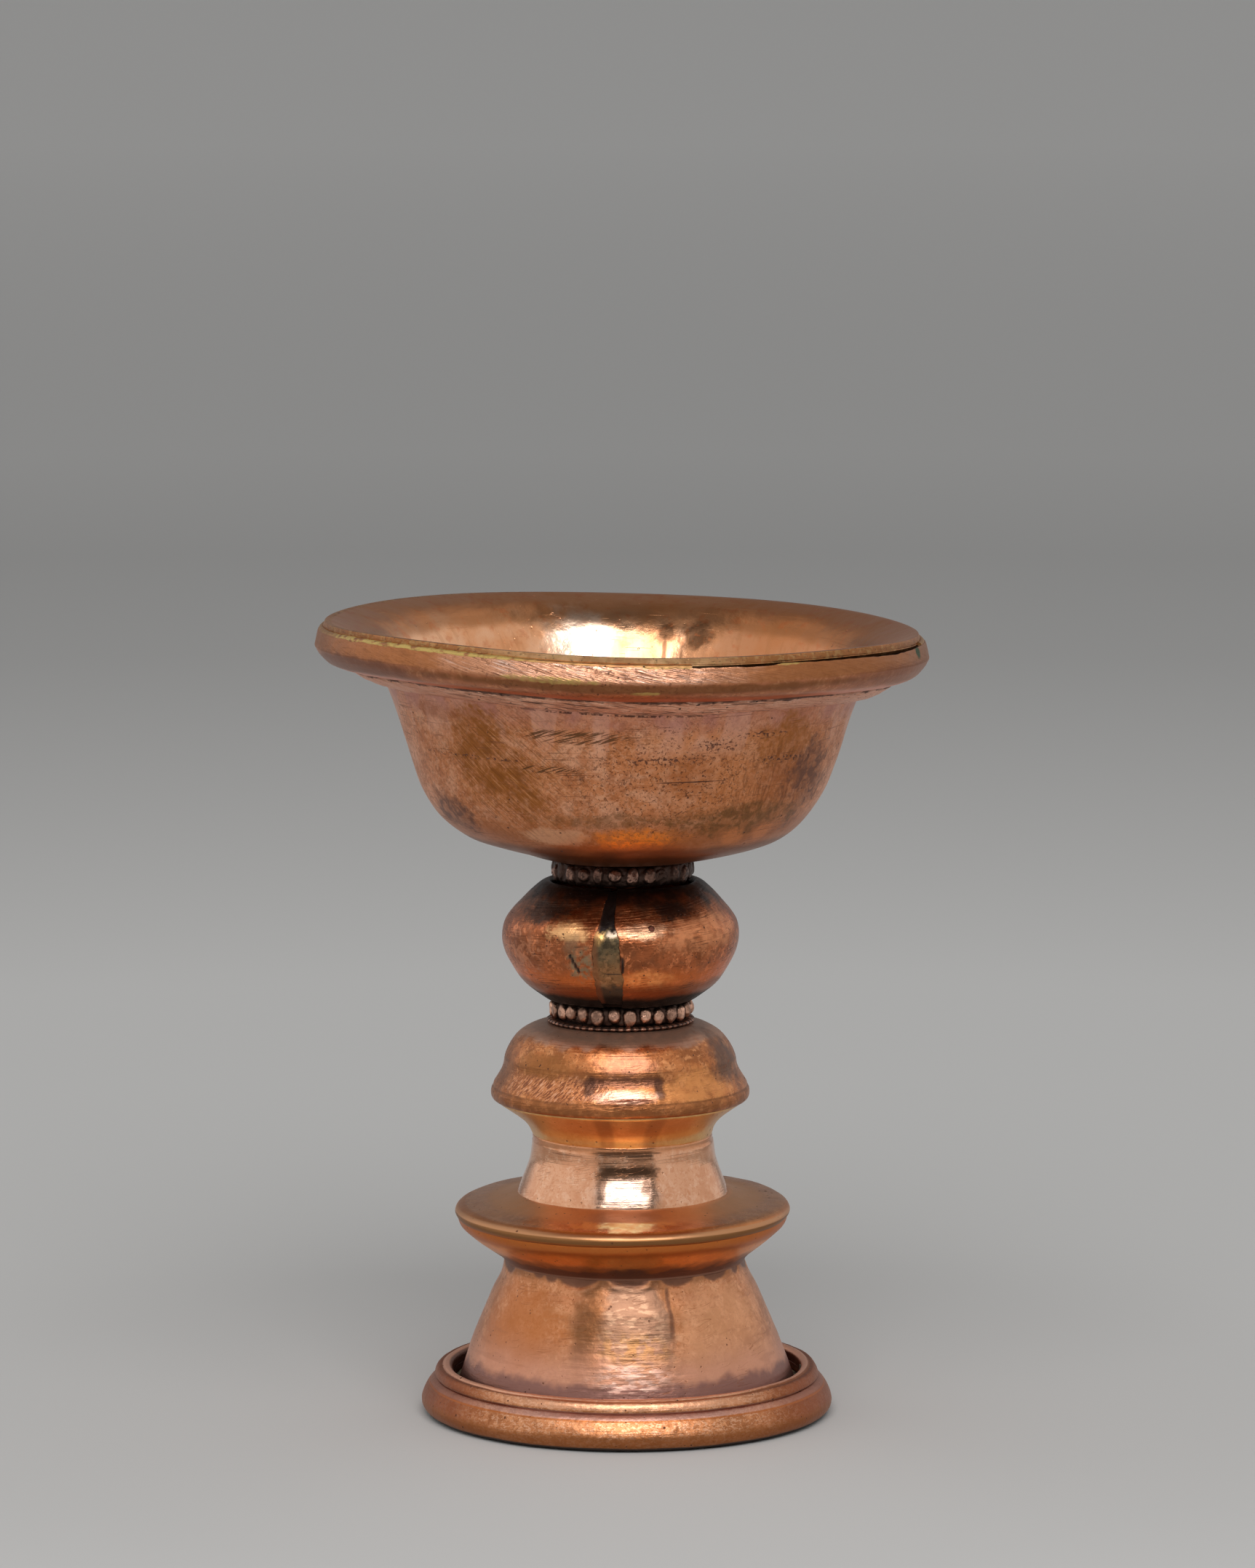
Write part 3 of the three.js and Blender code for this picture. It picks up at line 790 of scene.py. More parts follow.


# Beaded wires at the two necks

# All beads: foot, top, back and ground are levels and radii; a bead is wide, tall and stands proud of the
# ground. sooty is the level above which it is black, bare is how high a crest must be to shine with
# its colour, worn metal with a painted glint, and ringed is how dark the middle of a crest is, which
# leaves that painted glint as a thin ring round its edge
upperBeads = dict(
    count=27, foot=46.4, top=48.1, back=5.6, ground=5.92, proud=0.3, wide=1.1, tall=1.5,
    uneven=0.6, worn=0.7, seed=3, step=0.085, segments=540,
    crest=(160, 122, 106), sooty=47.9, bare=0.78, ringed=0.95,
)
lowerBeads = dict(
    count=27, foot=34.42, top=35.98, back=5.6, ground=5.64, proud=0.5, wide=1.16, tall=1.5,
    uneven=0.25, worn=0.3, seed=5, step=0.085, segments=540,
    crest=(255, 198, 168), sooty=35.75, bare=0.55, ringed=0.0,
)
beadDark = (66, 50, 44)


def beadRing(name, beads):
    # a ring whose outside swells into beads, each one a little different
    draw = np.random.default_rng(beads["seed"])
    count = beads["count"]
    spread = beads["uneven"]
    centres = (np.arange(count) + draw.uniform(-0.3, 0.3, count) * spread) * 360 / count - 180
    wide = beads["wide"] * (1 + spread * draw.uniform(-0.5, 0.4, count))
    tall = beads["tall"] * (1 + spread * draw.uniform(-0.6, 0.3, count))
    middle = (beads["foot"] + beads["top"]) / 2 + spread * draw.uniform(-0.5, 0.5, count)
    proud = beads["proud"] * (1 + spread * draw.uniform(-0.9, 0.3, count))
    cut = 1 - beads["worn"] * draw.uniform(0, 1, count)

    def shape(around, radius, level, side, spots):
        rise = np.zeros(around.shape)
        for k in range(count):
            off = awayFrom(around, centres[k])
            u = off * math.pi / 180 * radius / (wide[k] / 2)
            v = (level - middle[k]) / (tall[k] / 2)
            bead = np.sqrt(np.clip(1 - u**2 - v**2, 0, 1))
            rise = np.maximum(rise, proud[k] * np.minimum(bead, cut[k]))
        rise = outwards(side, rise)
        rough = 0.09 * hills(spots, 0.45, beads["seed"]) + 0.05 * hills(spots, 1.5, beads["seed"] + 1)
        return {"push": rise + np.where(side < 0.75, rough, 0), "crest": rise / beads["proud"]}

    ground = beads["ground"]
    face = [(ground - 0.1, beads["foot"]), (ground, beads["foot"] + 0.2), (ground, beads["top"] - 0.2),
            (ground - 0.1, beads["top"])]
    back = [(beads["back"] - 0.4, beads["top"]), (beads["back"] - 0.4, beads["foot"])]
    return turned(name, beads, [(0, face), (1, back)], shape, rounds=1)


def finishBeads(name, beads, seed):
    skin = Skin(name, beads["crest"], 0.3)
    skin.coat(skin.cloud(0.5, seed, 0.44, 0.6, detail=5, swirl=1.0) * 0.5, (110, 80, 68), 0.4)
    worn = skin.mark("crest") + (skin.grain(0.45, seed + 1, detail=4, swirl=1.0) - 0.5) * 1.4
    bare = beads["bare"]
    # painted glints: only the crests keep their pale colour, and with ringed only a thin ring of it
    skin.coat(skin.ease(worn, bare, bare - 0.3) * 0.92, beadDark, 0.45, 0.9)
    skin.coat(skin.ease(worn, bare + 0.08, bare + 0.2) * beads["ringed"], beadDark, 0.45, 0.9)
    skin.coat(skin.cloud(2.5, seed + 2, 0.42, 0.55) * 0.5, (74, 54, 46), 0.45)
    skin.coat(skin.above(beads["sooty"], seed + 4, 0.3, 0.5, 0.8) * 0.85, (46, 34, 30), 0.5, 0.9)
    skin.coat(skin.grain(0.4, seed + 5, detail=3), depth=0.1)
    skin.coat(skin.pits(0.4, seed + 3), sootAndShade, 0.7, 0.6, -0.03)
    return skin.done()


piece = beadRing("upper_bead_ring", upperBeads)
fit(piece, "upper_beaded_wire", finishBeads("upper bead copper", upperBeads, 91))
piece = beadRing("lower_bead_ring", lowerBeads)
fit(piece, "lower_beaded_wire", finishBeads("lower bead copper", lowerBeads, 96))


# Fine notched wire under the lower beads

milledWire = dict(
    face=[(6.15, 34.0), (6.38, 34.18), (6.15, 34.36)],
    back=[(5.6, 34.36), (5.6, 34.0)],
    notches=60, deep=0.07, step=0.08, segments=600,
    crest=(196, 146, 124), sooty=34.45, bare=0.62, ringed=0.0,
)


def shapeMilled(around, radius, level, side, spots):
    notch = np.abs(np.sin(np.radians(around) * milledWire["notches"] / 2)) ** 3
    rough = hills(spots, 0.8, 13)
    push = np.where(side < 0.75, -milledWire["deep"] * notch * (0.7 + 0.5 * rough) + 0.04 * rough, 0)
    return {"push": push, "crest": 1 - notch}


piece = drawn("notched_wire", milledWire, shapeMilled)
fit(piece, "lower_milled_wire", finishBeads("notched wire copper", milledWire, 101))


# Sleeves behind the beads, which join the hollow pieces. They are dark, a painted shade behind the beads

sleeves = dict(bore=4.9, outside=5.18, step=0.3, segments=96, copper=(58, 42, 36), rough=0.55)


def finishSleeve(name, seed):
    skin = Skin(name, sleeves["copper"], sleeves["rough"], 0.9)
    skin.coat(skin.cloud(2, seed) * 0.6, (96, 62, 48), 0.5)
    skin.coat(skin.grain(0.5, seed + 1), depth=0.03)
    return skin.done()


for name, node, seed in (("upper_neck_sleeve", "upper_collar_sleeve", 95),
                         ("lower_neck_sleeve", "lower_collar_sleeve", 97)):
    low, high = heights(node)
    tube = [(0, [(sleeves["outside"], low), (sleeves["outside"], high)]),
            (1, [(sleeves["bore"], high), (sleeves["bore"], low)])]
    piece = turned(name, sleeves, tube, rounds=0)
    fit(piece, node, finishSleeve(name + " copper", seed))


# Knop, with its upright seam at the front

knopSeam = dict(
    levels=[36.4, 38.0, 40.0, 42.2, 43.0, 43.6, 45.6],
    middle=[-6.2, -6.2, -6.2, -7.2, -7.2, -7.4, -6.8],
    half=[7.4, 7.4, 7.0, 6.4, 5.2, 3.8, 3.2],
    reach=8,             # degrees to each side, before the edge is shaped
    deep=0.5,
    bed=0.28,            # how far the knop's surface is sunk under it
    step=fineStep,
    segments=28,
    copper=(160, 116, 78),
    light=(196, 142, 98),
    dark=(112, 84, 58),
    rough=0.36,
)

knop = dict(
    wall=[(6.3, knopFoot), (7, 36.5), (8.25, 37.5), (9.3, 39), (9.93, 40.3), (10.13, 41.5), (9.93, 42.7),
          (9.36, 43.6), (8.6, 44.45), (7.6, 45.5), (6.75, 46.15), (6.2, knopTop)],
    sheet=0.7,
    step=fineStep,
    segments=300,
    seam=-7.0,          # degrees round
    blow=4.2,
    dent=0.07,
    facet=dict(at=(-34, 43.3), half=(15, 1.6), proud=0.24),    # raised, at the upper left
    gash=dict(start=(-25.2, 41.0), end=(-21.2, 39.5), half=0.22, deep=0.28),
    notch=dict(start=(0.6, 40.9), end=(1.4, 39.6), half=0.2, deep=0.24),
    copper=(186, 106, 66),
    light=(240, 146, 96),
    dark=(140, 80, 50),
    rough=0.3,
)


def groove(around, level, cut):
    # 1 on the line of a cut and 0 beyond its half width
    reach = math.radians(10)     # mm to a degree, 10 mm from the axis
    start = np.array([cut["start"][0] * reach, cut["start"][1]])
    way = np.array([cut["end"][0] * reach, cut["end"][1]]) - start
    x = around * reach - start[0]
    y = level - start[1]
    along = np.clip((x * way[0] + y * way[1]) / (way ** 2).sum(), 0, 1)
    away = np.hypot(x - along * way[0], y - along * way[1])
    return np.clip(1 - away / cut["half"], 0, 1)


def seamAt(level):
    # the middle and half width of the seam at a level, in degrees
    middle = np.interp(level, knopSeam["levels"], knopSeam["middle"])
    half = np.interp(level, knopSeam["levels"], knopSeam["half"])
    return middle, half


def shapeKnop(around, radius, level, side, spots):
    push = knop["dent"] * (planished(spots, knop["blow"], 21) - 0.25) + 0.04 * hills(spots, 6, 22)
    turn, high = knop["facet"]["at"]
    wide, tall = knop["facet"]["half"]
    off = np.hypot((around - turn) / wide, (level - high) / tall)
    push = push + knop["facet"]["proud"] * bent(off, 1, 0.2)
    middle, half = seamAt(level)
    bed = bent(np.abs(around - middle), half - 0.4, half - 1.4)
    gash = groove(around, level, knop["gash"])
    notch = groove(around, level, knop["notch"])
    cut = knopSeam["bed"] * bed + knop["gash"]["deep"] * gash + knop["notch"]["deep"] * notch
    return {"push": outwards(side, push - cut), "cut": np.maximum(gash, notch)}


def finishKnop():
    skin = Skin("knop copper", knop["copper"], knop["rough"])
    skin.worn(knop["light"], knop["dark"], 111, 0.8, 0.1)
    skin.coat(skin.cloud(1.5, 112, 0.48, 0.6, detail=8, swirl=1.5) * 0.5, (150, 92, 62), 0.36)
    skin.coat(skin.below(39.6, 114, 0.8, 0.8) * 0.6, (240, 124, 56), 0.26)
    # painted glow: orange light low down at the front right
    paintedGlow = 0.45 + skin.cloud(0.5, 115.5, 0.4, 0.6) * 0.55
    skin.coat(skin.patch((12, 38.9), (12, 0.75), 115, 0.5, 0.9, 1.0) * paintedGlow, (255, 160, 90), 0.3, 0.7)
    # painted sheen: a broad paler stretch on the right
    paintedSheen = 0.35 + skin.cloud(0.9, 116.5, 0.4, 0.6, detail=8) * 0.5
    skin.coat(skin.stain((48, 42.8), (28, 1.7), 116) * paintedSheen, (236, 156, 108), 0.38)
    flecks = skin.cloud(0.8, 117.5, 0.44, 0.6, detail=8, swirl=1)
    skin.coat(skin.stain((-60, 40.5), (20, 2.0), 117) * flecks * 0.6, (226, 152, 112), 0.36)
    # painted highlights: a bright one on the raised facet left of the seam, a paler one right of the seam
    skin.coat(skin.stain((-30, 43.2), (9, 0.9), 118) * 0.95, (255, 194, 134), 0.28)
    skin.coat(skin.stain((8, 43.1), (13, 0.6), 119) * 0.8, (252, 196, 156), 0.28)
    scored = skin.ease(skin.strokes(9.8, 3, 2.6, 0.09, 120), 0.52, 0.6)
    scored = scored * skin.patch((12, 43.6), (17, 1.3), 120.5, 0.5, 0.5)
    skin.coat(scored * 0.6, (120, 70, 46), 0.4, depth=-0.02)
    # smoke blackening from the top down, lower on the left
    skin.coat(skin.above(44.0, 121, 0.9, 1.4, 2.0) * 0.7, (118, 72, 44), 0.34)
    skin.coat(skin.above(45.1, 122, 0.8, 1.6, 1.2) * 0.95, (44, 33, 28), 0.4, 0.9)
    skin.coat(skin.stain((-50, 44.4), (17, 1.0), 123) * 0.85, (70, 54, 46), 0.42, 0.9)
    skin.coat(skin.stain((29, 44.6), (12, 0.7), 124) * 0.9, (60, 44, 38), 0.4)
    # darker towards the bottom, and black round its foot
    skin.coat(skin.below(38.3, 124.5, 0.4, 0.5, 1.4) * 0.7, (126, 74, 46), 0.34)
    skin.coat(skin.below(37.1, 125, 0.3, 0.4), sootAndShade, 0.5, 0.9)
    # grey-green flux round the gash
    flux = skin.patch((-22, 40.2), (5.5, 1.3), 126, 0.6, 1.2, 0.7)
    flux = flux * skin.cloud(0.4, 126.5, 0.38, 0.58, detail=5)
    skin.coat(flux * 0.8, (150, 134, 104), 0.42, 0.9)
    skin.coat(skin.patch((-26, 41.9), (4, 1.0), 127, 0.6, 1.0, 0.7) * 0.5, (140, 114, 88), 0.42, 0.9)
    # the two cuts, a small dark lump, and fine marks all over
    skin.coat(skin.ease(skin.mark("cut"), 0.15, 0.6) * 0.9, (40, 32, 26), 0.8, 0.3)
    skin.coat(skin.patch((13.6, 43.32), (1.5, 0.22), 128, 0.2, 0.1), (124, 74, 60), 0.5, 0.8, 0.16)
    skin.coat(skin.strokes(9.8, 4, 4, 0.12, 129), depth=0.03)
    skin.coat(skin.hairs(9.8, 5, 5, 0.4, 130, 0.015) * skin.cloud(2, 131) * 0.5, sootAndShade, 0.5, depth=-0.01)
    skin.coat(skin.pits(0.5, 132) * 0.8, (60, 40, 34), 0.6, 0.7, -0.03)
    return skin.done()


piece = raised("bent_knop", knop, shapeKnop)
fit(piece, "knop", finishKnop())


# Filler in the knop's seam, black at the top and brassy lower down


def shapeKnopSeam(around, radius, level, side, spots):
    share = (around - knop["seam"]) / knopSeam["reach"]
    middle, half = seamAt(level)
    ragged = 1 + 0.2 * hills(spots, 0.9, 31) + 0.16 * hills(spots, 0.35, 33)
    turn = middle + share * half * ragged - around
    edge = bent(np.abs(share), 1, 0.75)
    push = np.where(side < 0.5, 0.015 + 0.05 * hills(spots, 0.8, 32) * edge, 0)
    return {"push": push, "turn": turn}


def finishKnopSeam():
    skin = Skin("knop seam brass", knopSeam["copper"], knopSeam["rough"])
    skin.worn(knopSeam["light"], knopSeam["dark"], 141, 0.7, 0.1)
    skin.coat(skin.above(40.8, 143, 0.8, 1.2, 1.0) * 0.85, (108, 96, 72), 0.36, 0.9)
    dull = skin.above(40.9, 143.5, 0.5, 1.2, 1.0) * skin.cloud(0.6, 144, 0.44, 0.6, detail=6, swirl=1)
    skin.coat(dull * 0.7, (64, 56, 44), 0.4)
    # painted highlights: a yellow glint and a paler one across the filler
    skin.coat(skin.patch((-13, 42.7), (3, 0.6), 144, 0.4, 0.8, 0.6), (216, 170, 110), 0.26)
    skin.coat(skin.patch((-6, 43.0), (3, 0.3), 144.5, 0.4, 0.8, 0.6) * 0.8, (190, 170, 150), 0.3)
    skin.coat(skin.above(43.1, 145, 0.2, 1.0, 0.6), (44, 36, 34), 0.32, 0.8)
    skin.coat(skin.below(38.4, 146, 0.4, 0.6, 0.9) * 0.9, (78, 68, 58), 0.4, 0.9)
    skin.coat(skin.below(37.4, 146.5, 0.3, 0.3, 0.9) * 0.9, sootAndShade, 0.5, 0.9)
    skin.coat(skin.patch((-6, 39.5), (5, 0.06), 147, rag=0.5) * 0.8, sootAndShade, 0.7, 0.4)
    skin.coat(skin.ease(abs(skin.around + 7), 5.0, 7.5) * 0.6, (150, 90, 58), 0.34)
    skin.coat(skin.pits(0.5, 150), sootAndShade, 0.7, 0.5, -0.04)
    return skin.done()


strokes = sheetOf(knop["wall"][1:-1], knopSeam["deep"], knopSeam["step"])
arc = (knop["seam"] - knopSeam["reach"], knop["seam"] + knopSeam["reach"])
piece = turned("knop_seam_filler", knopSeam, strokes, shapeKnopSeam, arc, rounds=1)
fit(piece, "knop_seam_braze", finishKnopSeam())


# Shoulder: a dome with an edge band over a flared lower half

dome = dict(
    wall=[(10.7, shoulderSeam), (11.02, 27.45), (11.1, 28.1), (10.92, 28.6), (10.6, 29.1), (10.12, 29.95),
          (9.99, 30.35), (9.92, 30.9), (9.66, 31.6), (9.25, 32.3), (8.75, 32.9), (7.8, 33.5), (6.6, 33.88),
          (5.3, shoulderTop)],
    sheet=0.7,
    step=fineStep,
    segments=280,
    blow=3.6,
    dent=0.05,
    line=28.45,      # level of the line scribed over the edge band
    copper=(214, 136, 84),
    light=(244, 168, 112),
    dark=(150, 92, 58),
    rough=0.32,
)


def shapeDome(around, radius, level, side, spots):
    push = dome["dent"] * (planished(spots, dome["blow"], 41) - 0.25) + 0.04 * hills(spots, 5, 42)
    scribed = 0.05 * bent(np.abs(level - dome["line"]), 0.22, 0.02)
    return {"push": outwards(side, push * bent(level, 27.3, 28.2) - scribed)}


def finishDome():
    skin = Skin("dome copper", dome["copper"], dome["rough"])
    skin.worn(dome["light"], dome["dark"], 151, 0.7, 0.09)
    skin.coat(skin.cloud(1.4, 152, 0.48, 0.62, detail=8, swirl=1.2) * 0.5, (178, 106, 62), 0.34)
    # pinkish and scratched low on the left, and a wide painted sheen on the right
    marks = skin.strokes(10.6, 50, 0.6, 0.16, 154)
    left = skin.stain((-38, 29.4), (24, 1.0), 155)
    skin.coat(left * 0.6, (232, 154, 106), 0.36)
    skin.coat(left * skin.ease(marks, 0.5, 0.58) * 0.85, (142, 86, 62), 0.4, depth=-0.03)
    skin.coat(left * skin.ease(marks, 0.42, 0.36) * 0.6, (255, 196, 160), 0.32)
    paintedSheen = 0.3 + skin.cloud(1.2, 156.5, 0.36, 0.56, detail=8) * 0.5
    skin.coat(skin.stain((38, 29.7), (20, 1.3), 156) * paintedSheen, (240, 162, 98), 0.4)
    skin.coat(skin.stain((-44, 31.3), (18, 1.0), 157) * 0.7, (160, 104, 60), 0.36)
    # a painted dark reflection between the two bright facets in front, darker at its two ends, and a
    # painted highlight on the lower facet
    skin.coat(skin.patch((0, 30.3), (19, 0.5), 158, 0.4, 0.6, 1.0) * 0.75, (132, 88, 72), 0.28)
    for place, seed in ((-17, 159), (16.5, 159.5)):
        skin.coat(skin.patch((place, 29.9), (2.6, 0.9), seed, 0.4, 0.8, 0.8) * 0.85, (92, 62, 52), 0.36)
    skin.coat(skin.patch((0, 29.1), (14, 0.5), 160, 0.5, 0.5, 1.0) * 0.8, (250, 196, 170), 0.27)
    skin.coat(skin.patch((0, 31.7), (15, 0.8), 160.5, 0.5, 0.6, 1.0) * 0.6, (170, 119, 98), 0.32)
    crease = skin.ease(abs(skin.height - 30.95 + (skin.grain(3, 161) - 0.5) * 0.5), 0.22, 0.02)
    skin.coat(crease * (0.2 + skin.cloud(2.5, 161.5, 0.42, 0.58) * 0.5), (126, 80, 50), 0.34)
    # grey-brown round the neck and down the right side
    skin.coat(skin.above(32.95, 162, 0.3, 0.8, 1.4) * 0.9, (190, 148, 124), 0.42, 0.8)
    skin.coat(skin.above(33.5, 163, 0.2, 0.4, 1.0) * 0.7, (150, 118, 100), 0.44, 0.7)
    skin.coat(skin.patch((66, 31.3), (13, 2.0), 164, 0.4, 0.9, 1.3) * 0.85, (108, 82, 70), 0.42, 0.95)
    skin.coat(skin.patch((-78, 30.4), (12, 1.8), 165, 0.5, 0.8) * 0.6, (140, 94, 68), 0.4)
    # the edge band, with a few file cuts over it
    band = skin.below(28.5, 166, 0.06, 0.12)
    skin.coat(band * (0.4 + skin.cloud(0.8, 166.5, 0.4, 0.6, detail=6) * 0.5), (156, 98, 60), 0.38)
    skin.coat(skin.ease(abs(skin.height - dome["line"]), 0.14, 0.03) * 0.4, (124, 80, 52), 0.4)
    cuts = skin.strokes(10.9, 3, 2.2, 0.1, 167) * skin.patch((2, 28.5), (12, 0.4), 168, 0.3, 0.3)
    skin.coat(cuts, depth=0.16)
    skin.coat(skin.ease(cuts, 0.5, 0.6) * 0.7, (120, 76, 56), 0.4)
    skin.coat(skin.strokes(10.8, 8, 1.6, 0.09, 169) * skin.below(30.2, 170, 0.5, 0.2), depth=0.04)
    skin.coat(skin.strokes(10.4, 0, 6, 0.14, 171), depth=0.03)
    skin.coat(skin.hairs(10.5, 6, 4, 0.35, 172, 0.015) * skin.cloud(2, 173) * 0.5, brown, 0.5, depth=-0.01)
    skin.coat(skin.pits(0.5, 174) * 0.8, (80, 52, 40), 0.6, 0.7, -0.02)
    return skin.done()


piece = raised("domed_shoulder", dome, shapeDome)
fit(piece, "shoulder_dome", finishDome())


# Flared lower half of the shoulder. Its foot runs on inside the waist

shoulderUnder = dict(
    wall=[(7.58, waistTop - 0.2), (7.7, waistTop + 0.05), (7.95, 24.9), (8.3, 25.4), (8.85, 25.9),
          (9.8, 26.6), (10.66, shoulderSeam)],
    sheet=0.7,
    step=fineStep,
    segments=240,
    copper=(232, 180, 116),
    light=(244, 200, 136),
    dark=(212, 152, 90),
    shades=(-11, 16),     # degrees round of two darker streaks
)


def shapeUnder(around, radius, level, side, spots):
    return {"push": outwards(side, 0.05 * hills(spots, 3.5, 51))}


def finishUnder(name, plan, seed):
    skin = Skin(name, plan["copper"], 0.3, 0.85)
    skin.worn(plan["light"], plan["dark"], seed, 0.4, 0.03)
    for place in plan["shades"]:
        skin.coat(skin.patch((place, 25.6), (4.5, 3.0), seed + place, rag=0.3) * 0.5, (166, 116, 76), 0.28)
    # the disc's lower half: brown under its edge, and purple-brown where it meets the cone
    disc = skin.ease(skin.height, 20, 19)
    skin.coat(disc * skin.above(15.9, seed + 5, 0.3, 0.2, 1.5) * 0.8, (186, 98, 42), 0.4)
    skin.coat(disc * skin.below(14.8, seed + 4, 0.35, 0.6, 1.8) * 0.8, (150, 92, 62), 0.4)
    skin.coat(disc * skin.below(14.25, seed + 4.5, 0.25, 1.0, 1.6) * 0.8, (112, 78, 68), 0.45, 0.85)
    joint = disc * skin.ease(abs(skin.height - coneTop), 0.16, 0.05)
    skin.coat(joint * 0.9, (150, 106, 84), 0.6, 0.1)
    skin.coat(skin.strokes(9, 0, 8, 0.14, seed + 2), depth=0.015)
    skin.coat(skin.pits(0.6, seed + 3) * 0.7, (120, 66, 38), 0.5, depth=-0.02)
    return skin.done()


piece = raised("flared_shoulder", shoulderUnder, shapeUnder)
finish = finishUnder("shoulder underside copper", shoulderUnder, 181)
fit(piece, "shoulder_underside", finish)


# Waist sleeve, the most polished piece. Both its ends run on under its neighbours

waist = dict(
    wall=[(9.15, discTop - 0.25), (8.62, 20.4), (8.22, 21.42), (8.04, 21.95), (7.91, 22.6), (7.83, 23.3),
          (7.69, waistTop + 0.2)],
    sheet=0.7,
    step=fineStep,
    segments=240,
    copper=(238, 178, 140),
    light=(250, 198, 164),
    dark=(218, 150, 110),
    rough=0.14,
)


def shapeWaist(around, radius, level, side, spots):
    line = 0.06 * bent(np.abs(level - 23.9), 0.16, 0.03)     # the joint scribed round its top
    push = 0.035 * hills(spots, 3.2, 61) + 0.02 * hills(spots, 1.3, 62) - line
    return {"push": outwards(side, push)}


def finishWaist():
    skin = Skin("waist copper", waist["copper"], waist["rough"])
    skin.worn(waist["light"], waist["dark"], 191, 0.6, 0.03)
    skin.coat(skin.cloud(1.6, 191.5, 0.5, 0.62, (1, 1, 0.25), 4) * 0.4, (200, 138, 100), 0.2)
    # painted reflections in front: a pale patch for the white highlight, a dark band above it, and dark
    # marks at its two sides
    skin.coat(skin.patch((0, 20.4), (16, 1.4), 191.7, 0.5, 0.5) * 0.8, (255, 222, 202), 0.2)
    skin.coat(skin.patch((2, 22.15), (18.5, 0.46), 192, 0.25, 1.0, 0.6) * 0.85, (110, 80, 60), 0.26)
    skin.coat(skin.patch((-13.5, 20.9), (2.4, 0.9), 192.5, 0.4, 1.0, 0.6) * 0.7, (96, 66, 48), 0.26)
    skin.coat(skin.patch((12.5, 20.9), (3.0, 0.6), 193.5, 0.4, 1.2, 0.5) * 0.6, (120, 84, 62), 0.26)
    skin.coat(skin.above(23.7, 193, 0.15, 0.3, 1.0) * 0.6, (206, 134, 88), 0.24)
    skin.coat(skin.patch((1, 23.75), (20, 0.09), 194, rag=0.5, grain=0.7) * 0.9, (70, 46, 32), 0.4)
    skin.coat(skin.patch((-40, 23.4), (14, 0.06), 194.5, rag=0.5, grain=0.7) * 0.6, (120, 80, 60), 0.4)
    joint = skin.ease(abs(skin.height - discTop), 0.14, 0.04)
    skin.coat(joint * 0.4, (224, 170, 132), 0.3, 0.6)
    skin.coat(skin.strokes(8.4, 1, 7, 0.14, 195), depth=0.012)
    skin.coat(skin.hairs(8.4, 12, 3, 0.3, 196, 0.012) * skin.cloud(2, 197) * 0.5, brown, 0.4, depth=-0.01)
    skin.coat(skin.pits(0.5, 199) * 0.6, (140, 92, 62), 0.5, depth=-0.02)
    return skin.done()


piece = raised("polished_waist", waist, shapeWaist)
fit(piece, "waist_sleeve", finishWaist())


# Disc, in two thin halves. Their ends run on under the waist, into each other and into the cone

discPlate = dict(
    wall=[(14.02, discSeam - 0.24), (14.24, discSeam), (14.44, 17.26), (14.36, 17.62), (14, 17.95),
          (12.9, 18.24), (11.6, 18.52), (10.4, 18.8), (9.0, discTop), (8.7, discTop + 0.06)],
    sheet=0.6,
    step=fineStep,
    segments=280,
    copper=(222, 154, 104),
    light=(238, 172, 120),
    dark=(186, 120, 76),
    rough=0.27,
)


def shapeDisc(around, radius, level, side, spots):
    # level in front, and a little higher behind and on the right
    turn = np.radians(around)
    lift = (0.22 - 0.22 * np.cos(turn) + 0.08 * np.sin(turn)) * bent(radius, 10.6, 13.6)
    push = 0.05 * hills(spots, 4.5, 71) + 0.02 * hills(spots, 1.4, 72)
    return {"push": outwards(side, push), "lift": lift}


